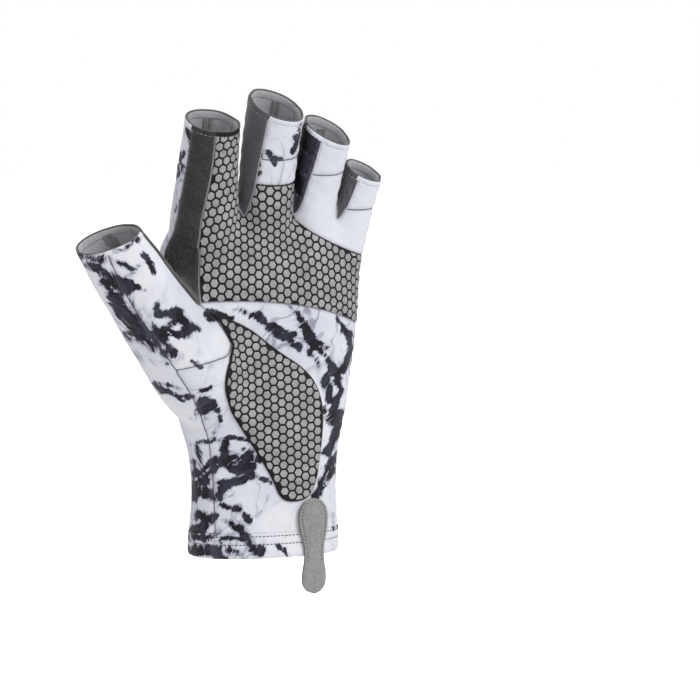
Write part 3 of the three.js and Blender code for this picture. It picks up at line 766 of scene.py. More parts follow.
def put(tree, kind, inputs=None, **settings):
    """A node with its settings, and its inputs linked or set by name or number."""
    made = tree.nodes.new(kind)
    for name, value in settings.items():
        setattr(made, name, value)
    for name, value in (inputs or {}).items():
        if isinstance(value, bpy.types.NodeSocket):
            tree.links.new(value, made.inputs[name])
        else:
            made.inputs[name].default_value = value
    return made


def calc(tree, operation, a, b=0.0):
    return put(tree, "ShaderNodeMath", {0: a, 1: b}, operation=operation).outputs[0]


def times(tree, a, b):
    return calc(tree, "MULTIPLY", a, b)


def weighed(tree, a, share_a, b, share_b):
    """The sum of two values times their shares."""
    return calc(tree, "ADD", times(tree, a, share_a), times(tree, b, share_b))


def between(tree, value, low, high, start=0.0, end=1.0):
    """A smooth step of a value from one number to another."""
    given = {"Value": value, "From Min": low, "From Max": high, "To Min": start, "To Max": end}
    return put(tree, "ShaderNodeMapRange", given, interpolation_type="SMOOTHSTEP").outputs[0]


def mixed(tree, share, a, b):
    """Two colours mixed."""
    a, b = (v if isinstance(v, bpy.types.NodeSocket) else (*v, 1.0) for v in (a, b))
    return put(tree, "ShaderNodeMix", {0: share, 6: a, 7: b}, data_type="RGBA").outputs[2]


def effect(name, takes, gives):
    """An empty shader group with its sockets."""
    tree = bpy.data.node_groups.new(name, "ShaderNodeTree")
    for label_, kind, value in takes:
        socket = tree.interface.new_socket(label_, in_out="INPUT", socket_type="NodeSocket" + kind)
        if value is not None:
            socket.default_value = value
    for label_, kind in gives:
        tree.interface.new_socket(label_, in_out="OUTPUT", socket_type="NodeSocket" + kind)
    return tree, tree.nodes.new("NodeGroupInput").outputs, tree.nodes.new("NodeGroupOutput").inputs


def use(tree, group, inputs):
    return put(tree, "ShaderNodeGroup", inputs, node_tree=group).outputs


def noise(tree, place, scale, detail=2.0, roughness=0.5, distortion=0.0, colour=False):
    given = {"Vector": place, "Scale": scale, "Detail": detail, "Roughness": roughness, "Distortion": distortion}
    return put(tree, "ShaderNodeTexNoise", given).outputs["Color" if colour else "Fac"]


def shifted(tree, place, source, amount):
    """A place pushed about by a noise colour."""
    centred = put(tree, "ShaderNodeVectorMath", {0: source, 1: (0.5, 0.5, 0.5)}, operation="SUBTRACT").outputs[0]
    grown = put(tree, "ShaderNodeVectorMath", {0: centred, "Scale": amount}, operation="SCALE").outputs[0]
    return put(tree, "ShaderNodeVectorMath", {0: place, 1: grown}, operation="ADD").outputs[0]


def marbling():
    """The water-marbled print: cloudy white ground, thin curling veins, and ragged ink where the ink value is high."""
    tree, given, made = effect(
        "marbling", [("Place", "Vector", None), ("Ink", "Float", 0.0)], [("Color", "Color"), ("Cover", "Float")]
    )
    place = given["Place"]
    broad = noise(tree, place, 24.0, 2.0, 0.5, colour=True)
    swirled = shifted(tree, place, broad, 0.034)
    fine = noise(tree, swirled, 95.0, 3.0, 0.55, colour=True)
    frayed = shifted(tree, swirled, fine, 0.0055)
    drawn = put(tree, "ShaderNodeMapping", {"Vector": frayed, "Scale": (1.0, 1.0, 0.34)}).outputs[0]
    field = noise(tree, drawn, 34.0, 3.0, 0.45)
    cloud = noise(tree, swirled, 30.0, 3.0, 0.6)
    veins = 0.0
    for level, width, strength in VEINS:
        line = between(tree, calc(tree, "ABSOLUTE", calc(tree, "SUBTRACT", field, level)), 0.0, width, strength, 0.0)
        veins = calc(tree, "MAXIMUM", line, veins)
    veins = times(tree, veins, between(tree, cloud, 0.44, 0.62))
    grain = noise(tree, drawn, 620.0, 4.0, 0.7)
    torn = noise(tree, drawn, 135.0, 5.0, 0.66)
    level = weighed(tree, torn, TORN, grain, GRAIN)
    ragged = times(tree, calc(tree, "SUBTRACT", level, 0.5), RAGGED)
    reach = calc(tree, "ADD", ragged, given["Ink"])
    cover, haze = between(tree, reach, *INK_LEVELS), between(tree, reach, *HAZE_LEVELS)
    ground = mixed(tree, between(tree, cloud, 0.35, 0.66), *GROUND)
    veined = mixed(tree, times(tree, veins, 0.75), ground, VEIN_COLOUR)
    hazed = mixed(tree, times(tree, haze, 0.62), veined, HAZE_COLOUR)
    depth = noise(tree, drawn, 140.0, 4.0, 0.7)
    ink = mixed(tree, between(tree, depth, 0.42, 0.62), *INK)
    tree.links.new(mixed(tree, cover, hazed, ink), made["Color"])
    tree.links.new(cover, made["Cover"])
    return tree


def knit():
    """Fine vertical ribs of loops on the cloth's own layout, as a height."""
    takes = [("Layout", "Vector", None), ("Pitch", "Float", PLAIN_PITCH)]
    tree, given, made = effect("knit", takes, [("Height", "Float")])
    parts = put(tree, "ShaderNodeSeparateXYZ", {0: given["Layout"]}).outputs
    turn = calc(tree, "DIVIDE", 2 * math.pi, given["Pitch"])
    ribs = times(tree, parts[0], turn)
    slope = calc(tree, "ABSOLUTE", calc(tree, "SINE", times(tree, ribs, 0.5)))
    courses = weighed(tree, times(tree, parts[1], turn), 1.25, slope, 1.6)
    height = calc(tree, "ADD", calc(tree, "COSINE", ribs), calc(tree, "SINE", courses))
    tree.links.new(between(tree, height, -2.0, 2.0), made["Height"])
    return tree


def heather():
    """Yarn of mixed shades, as short flecks along the knit, between two colours."""
    tree, given, made = effect(
        "heather",
        [("Layout", "Vector", None), ("Dark", "Color", (0.03, 0.03, 0.03, 1)), ("Light", "Color", (0.1, 0.1, 0.1, 1))],
        [("Color", "Color"), ("Fleck", "Float")],
    )
    drawn = put(tree, "ShaderNodeMapping", {"Vector": given["Layout"], "Scale": (1.0, 0.4, 1.0)}).outputs[0]
    fleck = between(tree, noise(tree, drawn, 1500.0, 3.0, 0.7), 0.36, 0.66)
    soft = between(tree, noise(tree, given["Layout"], 90.0, 3.0, 0.5), 0.3, 0.7)
    share = weighed(tree, fleck, 0.7, soft, 0.3)
    tree.links.new(mixed(tree, share, given["Dark"], given["Light"]), made["Color"])
    tree.links.new(fleck, made["Fleck"])
    return tree


def seam_marks():
    """The dark line of a seam and the shade beside it, from the distance to the seam in millimetres."""
    tree, given, made = effect(
        "seam_marks", [("Gap", "Float", CLEAR), ("Layout", "Vector", None)], [("Line", "Float"), ("Shade", "Float")]
    )
    wobble = noise(tree, given["Layout"], 700.0, 2.0, 0.6)
    gap = calc(tree, "ADD", given["Gap"], times(tree, calc(tree, "SUBTRACT", wobble, 0.5), 0.25))
    tree.links.new(between(tree, gap, *LINE_FADE, 1.0, 0.0), made["Line"])
    tree.links.new(between(tree, gap, *SHADE_FADE, 1.0, 0.0), made["Shade"])
    return tree


MARBLING, KNIT, HEATHER, SEAM_MARKS = marbling(), knit(), heather(), seam_marks()


def surface(name, roughness, sheen=0.0, specular=0.35):
    """A new material, its nodes and its shader."""
    made = bpy.data.materials.new(name)
    made.use_nodes = True
    tree = made.node_tree
    shader = tree.nodes["Principled BSDF"]
    shader.inputs["Roughness"].default_value = roughness
    shader.inputs["Sheen Weight"].default_value = sheen
    shader.inputs["Sheen Roughness"].default_value = 0.5
    shader.inputs["Specular IOR Level"].default_value = specular
    return made, tree, shader


def layout(tree):
    return put(tree, "ShaderNodeUVMap", uv_map="layout").outputs[0]


def own_place(tree):
    return put(tree, "ShaderNodeTexCoord").outputs["Object"]


def stored(tree, name):
    return put(tree, "ShaderNodeAttribute", attribute_name=name).outputs["Fac"]


def raised(tree, shader, height, strength, depth):
    made = put(tree, "ShaderNodeBump", {"Height": height, "Strength": strength, "Distance": depth})
    tree.links.new(made.outputs[0], shader.inputs["Normal"])


def printed(name, turn, shift, veiled=0.0):
    """Printed knit of one panel, with its own cut of the marbled cloth."""
    made, tree, shader = surface(name, 0.66, sheen=0.06, specular=0.25)
    place = own_place(tree)
    moves = {"Vector": place, "Rotation": tuple(map(math.radians, turn)), "Location": shift}
    cut_place = put(tree, "ShaderNodeMapping", moves).outputs[0]
    flat = layout(tree)
    print_ = use(tree, MARBLING, {"Place": cut_place, "Ink": stored(tree, "ink")})
    marks = use(tree, SEAM_MARKS, {"Gap": stored(tree, "seam_gap"), "Layout": flat})
    bare = calc(tree, "SUBTRACT", 1.0, print_["Cover"])
    colour = mixed(tree, times(tree, bare, veiled), print_["Color"], VEILED_COLOUR)
    colour = mixed(tree, times(tree, marks["Shade"], 0.16), colour, SEAM_SHADE)
    dark_line = times(tree, marks["Line"], between(tree, stored(tree, "pale_gap"), *PALE_FADE, 0.15, 0.75))
    colour = mixed(tree, dark_line, colour, SEAM_LINE)
    tree.links.new(colour, shader.inputs["Base Color"])
    loops = use(tree, KNIT, {"Layout": flat, "Pitch": PRINTED_PITCH})["Height"]
    soft = noise(tree, place, 70.0, 3.0, 0.55)
    raised(tree, shader, weighed(tree, loops, 0.12, soft, 0.9), 0.5, 0.0009)
    tree.links.new(between(tree, print_["Cover"], 0.0, 1.0, 0.66, 0.5), shader.inputs["Roughness"])
    return made


def plain_knit(name, dark, light, rough=0.85, sheen=0.4, piping=0.0):
    """Plain knit of mixed grey yarn, with a paler edge along the pale seams."""
    made, tree, shader = surface(name, rough, sheen=sheen, specular=0.25)
    flat = layout(tree)
    yarn = use(tree, HEATHER, {"Layout": flat, "Dark": (*dark, 1), "Light": (*light, 1)})
    marks = use(tree, SEAM_MARKS, {"Gap": stored(tree, "seam_gap"), "Layout": flat})
    colour = mixed(tree, times(tree, marks["Line"], 0.7), yarn["Color"], tuple(v * 0.25 for v in dark))
    piped = between(tree, stored(tree, "pale_gap"), *PIPING_FADE, piping, 0.0)
    colour = mixed(tree, piped, colour, PIPING)
    tree.links.new(colour, shader.inputs["Base Color"])
    loops = use(tree, KNIT, {"Layout": flat, "Pitch": PLAIN_PITCH})["Height"]
    raised(tree, shader, weighed(tree, loops, 0.6, yarn["Fleck"], 0.4), 0.45, 0.0004)
    return made


def silicone(name):
    """Grey silicone of the raised hexagons, scuffed on top."""
    made, tree, shader = surface(name, 0.42, specular=0.4)
    place = own_place(tree)
    cloud = noise(tree, place, 110.0, 4.0, 0.6)
    speck = noise(tree, place, 1900.0, 3.0, 0.7)
    base = mixed(tree, between(tree, cloud, 0.32, 0.68), (0.28, 0.28, 0.285), (0.42, 0.42, 0.425))
    scuffed = mixed(tree, between(tree, speck, 0.5, 0.72, 0.0, 0.6), base, (0.56, 0.56, 0.565))
    tree.links.new(scuffed, shader.inputs["Base Color"])
    tree.links.new(between(tree, speck, 0.3, 0.7, 0.34, 0.6), shader.inputs["Roughness"])
    raised(tree, shader, speck, 0.35, 0.0002)
    return made


def suede(name):
    """Brushed grey suede of the pull tab."""
    made, tree, shader = surface(name, 0.9, sheen=0.5, specular=0.2)
    place = own_place(tree)
    nap = noise(tree, place, 900.0, 5.0, 0.7)
    cloud = noise(tree, place, 120.0, 3.0, 0.6)
    base = mixed(tree, between(tree, cloud, 0.3, 0.7), (0.22, 0.22, 0.215), (0.28, 0.28, 0.274))
    tree.links.new(mixed(tree, between(tree, nap, 0.35, 0.7), base, (0.35, 0.35, 0.343)), shader.inputs["Base Color"])
    raised(tree, shader, nap, 0.5, 0.0003)
    return made


def thread(name, dark, light):
    """Twisted sewing thread."""
    made, tree, shader = surface(name, 0.6, sheen=0.3)
    place = own_place(tree)
    twist = noise(tree, place, 2600.0, 2.0, 0.6)
    tree.links.new(mixed(tree, between(tree, twist, 0.35, 0.65), dark, light), shader.inputs["Base Color"])
    raised(tree, shader, twist, 0.4, 0.0001)
    return made


PRINT_BACK = printed("print_back", (12, 20, 0), (0.013, 0.0, 0.021))
PRINT_PALM = printed("print_palm", (0, -38, 0), (0.05, 0.0, 0.083))
PRINT_THUMB = printed("print_thumb", (0, 28, 15), (0.11, 0.03, 0.05))
PRINT_TIPS = printed("print_tips", (30, 55, 20), (0.21, 0.04, 0.16), veiled=0.4)
PRINT_PALE = printed("print_pale", (30, 55, 20), (0.21, 0.04, 0.16), veiled=0.85)
CHARCOAL = plain_knit("charcoal_knit", (0.012, 0.013, 0.012), (0.062, 0.063, 0.06), piping=0.4)
GREY = plain_knit("grey_knit", (0.065, 0.065, 0.075), (0.125, 0.125, 0.14), piping=0.75)
NAVY = printed("navy_print", (10, 40, 0), (0.08, 0.02, 0.05))
GRIP_BLACK = plain_knit("grip_cloth", (0.003, 0.003, 0.004), (0.012, 0.012, 0.014), rough=0.6, sheen=0.05, piping=0.5)
LINING = plain_knit("lining", (0.44, 0.45, 0.47), (0.60, 0.61, 0.63), sheen=0.3)
RIM = plain_knit("rim_cloth", (0.05, 0.052, 0.054), (0.11, 0.112, 0.115))
TAPE = plain_knit("seam_tape", (0.20, 0.205, 0.21), (0.32, 0.325, 0.33))
SILICONE = silicone("silicone")
SUEDE = suede("tab_suede")
DARK_THREAD = thread("dark_thread", (0.02, 0.02, 0.028), (0.07, 0.07, 0.085))
PALE_THREAD = thread("pale_thread", (0.32, 0.32, 0.34), (0.48, 0.48, 0.50))

CLOTHS = {
    "back_panel": (PRINT_BACK, "printed_knit"), "palm_panel": (PRINT_PALM, "printed_knit"),
    "thumb_panel": (PRINT_THUMB, "printed_knit"), "ring_pinky_front": (PRINT_PALE, "printed_knit"),
    "middle_band": (PRINT_TIPS, "printed_knit"), "middle_tip_front": (PRINT_TIPS, "printed_knit"),
    "ring_tip_front": (PRINT_PALE, "printed_knit"), "pinky_tip_front": (PRINT_PALE, "printed_knit"),
    "index_tip_back": (PRINT_TIPS, "printed_knit"), "middle_tip_back": (PRINT_TIPS, "printed_knit"),
    "ring_tip_back": (PRINT_TIPS, "printed_knit"), "pinky_tip_back": (PRINT_TIPS, "printed_knit"),
    "index_gusset": (CHARCOAL, "charcoal_knit"), "thumb_gusset": (CHARCOAL, "charcoal_knit"),
    "fourchette_index_middle": (GREY, "grey_knit"), "fourchette_middle_ring": (NAVY, "navy_knit"),
    "fourchette_ring_pinky": (GREY, "grey_knit"), "palm_grip": (GRIP_BLACK, "grip_cloth"),
}

# Where the print is inked, as read off. Both ends of each stroke in pixels of the photograph, its half width in
# millimetres and its strength.
FRONT_INK = [
    # thumb, left of its seam
    (85, 259, 110, 262, 3, 0.7), (93, 269, 123, 284, 3.5, 1), (103, 280, 127, 286, 3, 1),
    (97, 273, 116, 304, 1.6, 0.9), (116, 295, 153, 345, 4.5, 1), (125, 308, 142, 334, 5, 1),
    (101, 286, 132, 330, 3, 0.6),
    # thumb, right of its seam
    (119, 262, 132, 265, 2, 0.9), (145, 256, 153, 273, 1.6, 0.8), (116, 249, 140, 239, 1.6, 0.7),
    (125, 273, 136, 262, 1.4, 0.6), (136, 284, 144, 288, 1.6, 0.9), (155, 304, 162, 317, 1.6, 0.85),
    (162, 317, 179, 314, 2.2, 1), (179, 319, 200, 327, 2.2, 1), (168, 330, 175, 323, 2, 0.9),
    (184, 334, 194, 327, 3, 1), (164, 334, 171, 348, 1.8, 0.9),
    # palm, above the heel patch
    (208, 310, 234, 319, 1.6, 1), (212, 314, 234, 325, 1.6, 1), (234, 308, 255, 319, 1.3, 0.7),
    (262, 319, 277, 332, 2.2, 1), (275, 323, 296, 332, 1.7, 0.9), (277, 330, 299, 343, 1.8, 0.9),
    (286, 304, 305, 317, 1.3, 0.7), (299, 310, 316, 338, 1.8, 1), (305, 325, 325, 347, 2.3, 1),
    (340, 319, 351, 336, 1.2, 0.7), (346, 334, 349, 347, 1.6, 0.8),
    # fingers
    (187, 130, 188, 150, 2.2, 0.9), (181, 156, 177, 173, 1.8, 0.9), (185, 169, 181, 178, 1.6, 0.8),
    (173, 212, 178, 204, 1.3, 0.8), (303, 124, 292, 134, 1.8, 0.9), (296, 128, 292, 150, 1.8, 0.9),
    (262, 156, 260, 167, 2, 1), (268, 154, 277, 165, 2, 1), (275, 158, 283, 160, 1.3, 0.8),
    (256, 177, 262, 176, 1.3, 0.7),
    # back of the hand and wrist, left of the seam
    (127, 334, 147, 349, 2.5, 0.8), (147, 330, 173, 358, 4.5, 1), (149, 360, 164, 366, 2, 0.6),
    (153, 384, 181, 390, 1.3, 0.8), (158, 388, 184, 401, 1.3, 0.85), (164, 395, 194, 397, 1.2, 0.75),
    (190, 444, 212, 436, 1.3, 0.8), (194, 447, 199, 464, 1.4, 0.85), (194, 460, 197, 477, 1.7, 0.9),
    (197, 475, 216, 457, 2.2, 1), (194, 494, 216, 468, 2.8, 1), (199, 490, 216, 494, 4, 1),
    (194, 512, 214, 514, 2.2, 0.9), (192, 529, 212, 516, 2.8, 1), (194, 551, 212, 549, 3.6, 1),
    (190, 538, 216, 531, 2.2, 0.9),
    # palm and wrist, right of the seam
    (168, 330, 181, 338, 1.6, 0.85), (188, 330, 190, 334, 2.2, 0.9), (190, 362, 199, 366, 1.6, 0.9),
    (203, 401, 216, 399, 1.7, 0.9), (205, 408, 212, 405, 2.8, 1), (216, 399, 222, 421, 1.2, 0.9),
    (199, 392, 212, 384, 1.2, 0.7), (212, 429, 221, 425, 1.3, 0.7), (216, 438, 253, 442, 1.2, 1),
    (221, 442, 225, 460, 2.6, 1), (225, 457, 262, 460, 2.8, 1), (229, 462, 255, 470, 2.4, 1),
    (244, 451, 262, 457, 1.6, 0.85), (223, 481, 255, 477, 1.7, 1), (221, 488, 229, 481, 2.2, 0.95),
    (255, 477, 273, 486, 1.6, 0.75), (223, 503, 236, 514, 1.7, 1), (236, 514, 249, 525, 1.7, 1),
    (268, 499, 255, 520, 1.1, 0.6), (221, 520, 242, 531, 2.2, 0.95), (242, 531, 251, 542, 1.6, 0.85),
    # hem
    (221, 546, 223, 557, 3, 1), (221, 538, 247, 540, 1.3, 0.8), (231, 549, 240, 555, 1.7, 0.85),
    (253, 551, 266, 553, 2.6, 1), (283, 546, 292, 555, 1.8, 0.9), (249, 544, 260, 555, 1.3, 0.8),
    # palm, right of the heel patch
    (268, 330, 301, 345, 1.7, 0.9), (307, 330, 316, 347, 2.2, 1), (309, 349, 316, 364, 1.7, 0.9),
    (318, 349, 338, 379, 2.2, 1), (325, 377, 331, 401, 2.2, 1), (340, 373, 351, 351, 1.6, 0.85),
    (335, 382, 344, 395, 1.7, 0.9), (342, 397, 331, 425, 2.2, 1), (327, 408, 329, 427, 1.6, 0.85),
    (340, 416, 329, 451, 2.6, 1), (322, 451, 329, 447, 1.6, 0.8), (335, 457, 322, 479, 2.2, 1),
    (333, 470, 318, 494, 3, 1), (329, 516, 335, 536, 1.2, 0.75),
]
# Ink of the back, which isn't seen on this glove: read off the other glove's back and mirrored. Both ends of each
# stroke in x and z, its half width and its strength, in millimetres.
BACK_INK = [
    (-56, 89, -25, 84, 3.5, 1), (-65, 76, -40, 80, 2.5, 0.95), (-40, 80, -25, 82, 4, 1), (-25, 78, -2, 84, 2.2, 1),
    (-2, 84, 10, 72, 3.2, 1), (10, 72, 28, 74, 3.6, 1), (28, 72, 46, 94, 4.2, 1), (-5, 66, 8, 66, 1.6, 0.9),
    (8, 58, 38, 65, 2.6, 1), (10, 52, 24, 43, 4.2, 1), (24, 43, 31, 34, 2.0, 0.9),
    (16, 22, 38, 30, 2.6, 0.95), (15, 12, 35, 14, 3.6, 1), (-5, 8, 18, 11, 1.6, 0.85), (-50, 27, -26, 34, 2.6, 1),
    (-40, 26, -33, 25, 2.6, 1), (-61, 60, -48, 45, 1.8, 0.9), (-50, 45, -50, 26, 1.8, 0.9),
    (-43, 66, -41, 54, 1.3, 0.8), (-40, 51, -23, 51, 1.2, 0.75), (-50, 110, -35, 94, 2.2, 0.95),
    (-45, 115, -31, 95, 1.5, 0.85), (-15, 111, -2, 118, 1.3, 0.7), (-2, 118, 10, 110, 1.3, 0.7),
    (-12, 94, -7, 89, 1.8, 0.95), (2, 91, 15, 78, 1.5, 0.9), (16, 129, 8, 151, 1.2, 0.6),
    (25, 129, 38, 139, 1.3, 0.68), (21, 120, 25, 129, 1.3, 0.7), (28, 150, 40, 136, 1.2, 0.64),
    (-38, 121, -25, 143, 1.3, 0.64), (-25, 143, -7, 140, 1.2, 0.64), (-41, 160, -36, 148, 1.9, 0.9),
    (-5, 162, -2, 157, 1.8, 0.95), (-8, 170, -15, 160, 1.4, 0.85), (-12, 201, -5, 181, 1.8, 0.95),
    (-21, 195, -8, 184, 1.3, 0.8), (-48, 172, -31, 177, 1.7, 0.85), (18, 179, 30, 188, 1.9, 0.95),
    (41, 165, 45, 169, 1.7, 0.9), (-78, 91, -71, 114, 2.8, 1), (-93, 126, -89, 120, 3, 0.95),
    (-72, 100, -64, 112, 1.6, 0.85),
]
# How heavily the navy wall is inked all over, and how far strokes curl, as a share of the reach of their curls
NAVY_INK = 1.12
CURL, CURL_REACH = 0.3, 4.2
# A stroke's ink begins beyond its half width, by a share of it and some millimetres, and is full at another share
STROKE_SOFT, STROKE_MORE, STROKE_FULL = 1.5, 0.8, 0.15
# How squarely a surface faces the camera where the front's ink fades in and where it is full
FRONT_FADE = (-0.05, 0.2)
view_right = np.array([math.cos(VIEW_TURN), math.sin(VIEW_TURN), 0.0])
view_toward = np.array([
    math.sin(VIEW_TURN) * math.cos(VIEW_RISE), -math.cos(VIEW_TURN) * math.cos(VIEW_RISE), math.sin(VIEW_RISE)
])
view_up = np.cross(view_toward, view_right)
view_from = view_right * VIEW_ASIDE + view_up * VIEW_UP + view_toward * VIEW_AWAY


def photo_place(points):
    """Where points fall in the photograph, in pixels."""
    offset = points - view_from
    scale = VIEW_AWAY / (offset @ -view_toward) / PHOTO_PIXEL
    return np.stack([PHOTO_CENTRE + offset @ view_right * scale, PHOTO_CENTRE - offset @ view_up * scale], -1)


def curled(flat, amount):
    """Flat points pushed about, so that straight strokes curl. The wave lengths go with the amount."""
    x, y = flat[:, 0] / amount, flat[:, 1] / amount
    aside = np.sin(y / 1.3 + 0.6 * np.sin(x / 1.9)) + 0.5 * np.sin(x / 0.8 + y / 0.7 + 1.1)
    up = np.sin(x / 1.5 + 0.7 * np.sin(y / 1.7) + 2.0) + 0.5 * np.sin(x / 0.6 - y / 0.9)
    return flat + amount * CURL * np.stack([aside, up], -1)


def strokes(flat, rows, unit):
    """How heavily flat points are inked by a list of strokes."""
    flat = curled(flat, CURL_REACH / unit)
    total = np.zeros(len(flat))
    for x1, y1, x2, y2, radius, strength in rows:
        a, e = np.array([x1, y1], float), np.array([x2 - x1, y2 - y1], float)
        t = np.clip((flat - a) @ e / (e @ e), 0, 1)[:, None]
        distance = np.linalg.norm(flat - a - t * e, axis=1) * unit
        inked = rises(-STROKE_SOFT * radius - STROKE_MORE, -STROKE_FULL * radius, -distance)
        total = np.maximum(total, strength * inked)
    return total


def ink_at(points, normals):
    """How heavily the print is inked at each point, by the front's strokes where the camera sees it."""
    seen = rises(*FRONT_FADE, normals @ view_toward)
    front = strokes(photo_place(points), FRONT_INK, PHOTO_PIXEL)
    back = strokes(points[:, [0, 2]], BACK_INK, 1.0)
    return front * seen + back * (1 - seen)


# Waves of the worn cloth: length and share of each kind
WAVES = ((31.0, 0.5), (17.0, 0.3), (9.0, 0.2))
WAVES_OF_A_KIND, WAVE_GAIN = 3, 1.6


def ripple(points):
    """Slow waves of the worn cloth, about from -1 to 1."""
    total = np.zeros(len(points))
    for i, (length, share) in enumerate(WAVES):
        for k in range(WAVES_OF_A_KIND):
            direction = np.array([
                math.sin(2.1 * i + 1.7 * k), math.cos(3.3 * i + 0.9 * k), math.sin(1.2 + 2.6 * k + i),
            ])
            direction /= np.linalg.norm(direction)
            wave = np.sin(points @ direction * 2 * math.pi / length + 5.0 * i + 2.3 * k)
            total += share / WAVES_OF_A_KIND * wave
    return total * WAVE_GAIN


# Seams with a thin pale edge: those round the grip, and between the walls and the fingers' fronts
PALE_EDGED = ["palm_grip", "middle_tip_front", "middle_band", "ring_pinky_front"]
PALE_AGAINST = [
    "fourchette_index_middle", "fourchette_middle_ring", "fourchette_ring_pinky", "index_gusset", "thumb_gusset",
    "palm_panel",
]


def pale_seam(first, second):
    """Which pairs of labels meet at a pale seam."""
    edged, against = ([NAMES.index(n) for n in names] for names in (PALE_EDGED, PALE_AGAINST))
    return (np.isin(first, edged) & np.isin(second, against)) | (np.isin(second, edged) & np.isin(first, against))


def seam_tree(points, triangles, label, wanted=np.not_equal):
    """The points of the wanted seams, for measuring distances to them."""
    pairs, sides = face_pairs(triangles)
    seams = np.unique(sides[wanted(label[pairs[:, 0]], label[pairs[:, 1]])])
    found = KDTree(len(seams))
    for i in seams:
        found.insert(points[i], int(i))
    found.balance()
    return found


def distances(tree, points):
    return np.array([tree.find(p)[2] for p in points])


# The bent cloth, drawn in along its seams, puckered beside them and lightly rippled elsewhere
SEAM_DEPTH, RIPPLE, PUCKER = 0.5, 0.28, 0.22
GROOVE_REACH, CALM_REACH = 0.9, 6.0
PUCKER_FROM, PUCKER_REACH, PUCKER_PITCH = 1.2, 4.5, 5.2
PUCKER_LINE = np.array([0.55, 0.2, 0.8])
worn = bent(straight)
normals = normals_of(worn, skin)
used = np.unique(skin)
gap, pale_gap = np.full(len(worn), FAR), np.full(len(worn), FAR)
gap[used] = distances(seam_tree(worn, skin, label), worn[used])
pale_gap[used] = distances(seam_tree(worn, skin, label, pale_seam), worn[used])


def beside_seam(reach):
    """1 on a seam, falling to 0 over a reach."""
    return np.exp(-((gap / reach) ** 2))


pucker = np.sin(worn @ PUCKER_LINE * 2 * math.pi / PUCKER_PITCH)
pucker = pucker * beside_seam(PUCKER_REACH) * (1 - beside_seam(PUCKER_FROM))
waves = ripple(worn) * (1 - beside_seam(CALM_REACH))
move = -SEAM_DEPTH * beside_seam(GROOVE_REACH) + RIPPLE * waves + PUCKER * pucker
worn = worn + normals * move[:, None]
normals = normals_of(worn, skin)


def compact(points, triangles):
    """The numbers of the points that the triangles use, and the triangles in places among those."""
    kept, index = np.unique(triangles, return_inverse=True)
    return kept, index.reshape(-1, 3)


def rim_edges(triangles):
    """Edges with one triangle, in its order."""
    sides = sides_of(triangles)
    _, inverse, count = np.unique(np.sort(sides, 1), axis=0, return_inverse=True, return_counts=True)
    return sides[count[inverse.ravel()] == 1]


def loops_of(sides):
    """Chains of edges as closed loops of point numbers."""
    follow = {int(a): int(b) for a, b in sides}
    found = []
    while follow:
        start, at = next(iter(follow.items()))
        chain = [start]
        del follow[start]
        while at != start and at in follow:
            chain.append(at)
            at = follow.pop(at)
        found.append(chain)
    return sorted(found, key=len, reverse=True)


def flat_layout(name, points, triangles, upright):
    """The panel's flat pattern in millimetres, upright as it is worn, and its area."""
    made = new_object(name + "_pattern", points, triangles)
    choose(made)
    made.data.uv_layers.new(name="layout")
    bpy.ops.object.mode_set(mode="EDIT")
    bpy.ops.mesh.select_all(action="SELECT")
    bpy.ops.uv.unwrap(method="CONFORMAL", margin=0.0)
    bpy.ops.object.mode_set(mode="OBJECT")
    corners = np.empty(len(made.data.loops) * 2)
    made.data.uv_layers["layout"].data.foreach_get("uv", corners)
    flat = np.zeros((len(points), 2))
    flat[loop_points(made.data)] = corners.reshape(-1, 2)
    bpy.data.objects.remove(made)
    a, b, c = (points[triangles[:, k]] for k in range(3))
    area = np.linalg.norm(np.cross(b - a, c - a), axis=1).sum() / 2
    u, v, w = (flat[triangles[:, k]] for k in range(3))
    d, e = v - u, w - u
    flat *= math.sqrt(area / max(np.abs(d[:, 0] * e[:, 1] - d[:, 1] * e[:, 0]).sum() / 2, 1e-12))
    x, y = centred = (flat - flat.mean(0)).T
    slope = np.linalg.lstsq(centred.T, upright - upright.mean(), rcond=None)[0]
    s, c = slope / np.linalg.norm(slope)
    return np.stack([x * c - y * s, x * s + y * c], -1), area


def shell(name, points, normals, triangles, flat, outside, inside, materials, values):
    """A sheet of cloth with two faces and an edge, from its middle surface and how far each face stands off it."""
    count = len(points)
    both = np.concatenate([points + normals * outside, points - normals * inside])
    sides = rim_edges(triangles)
    edge = np.stack([sides[:, 1], sides[:, 0], sides[:, 0] + count, sides[:, 1] + count], -1)
    faces = [*triangles.tolist(), *(triangles[:, ::-1] + count).tolist(), *edge.tolist()]
    made = new_object(name, both, faces)
    index = np.zeros(len(faces), int)
    index[len(triangles):] = len(materials) - 1
    clothe(made, materials, index)
    lay_out(made.data, np.concatenate([flat, flat]))
    for label_, value in values.items():
        store(made.data, label_, np.concatenate([value, value]))
    return made


def on_glove(piece, slot, *nodes):
    """Hangs a piece on the glove's root, and hides the parts of the model that it stands for. The slot is not used."""
    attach(piece, "root")
    if nodes:
        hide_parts(*nodes)
    return piece


for name, (material, slot) in CLOTHS.items():
    kept, triangles = compact(worn, skin[label == NAMES.index(name)])
    flat, area = flat_layout(name, worn[kept], triangles, straight[kept, 2])
    ink = np.full(len(kept), NAVY_INK) if material is NAVY else ink_at(worn[kept], normals[kept])
    values = {"ink": ink, "seam_gap": gap[kept], "pale_gap": pale_gap[kept]}
    piece = shell(name + "_cloth", worn[kept], normals[kept], triangles, flat, 0.0, CLOTH, [material, LINING], values)
    on_glove(piece, slot, name)
    size = (flat.max(0) - flat.min(0)) * MM
    min(area * MM**2, size.prod())
    if name == "palm_grip":
        grip_layout = (worn[kept], normals[kept], triangles, flat)


# Heel patch, laid over the palm panel: how far its faces stand off the palm, and how its edge is rounded
PATCH_OUT, PATCH_IN = 1.35, 0.35
EDGE_ROUND, EDGE_REACH = 0.75, 0.55
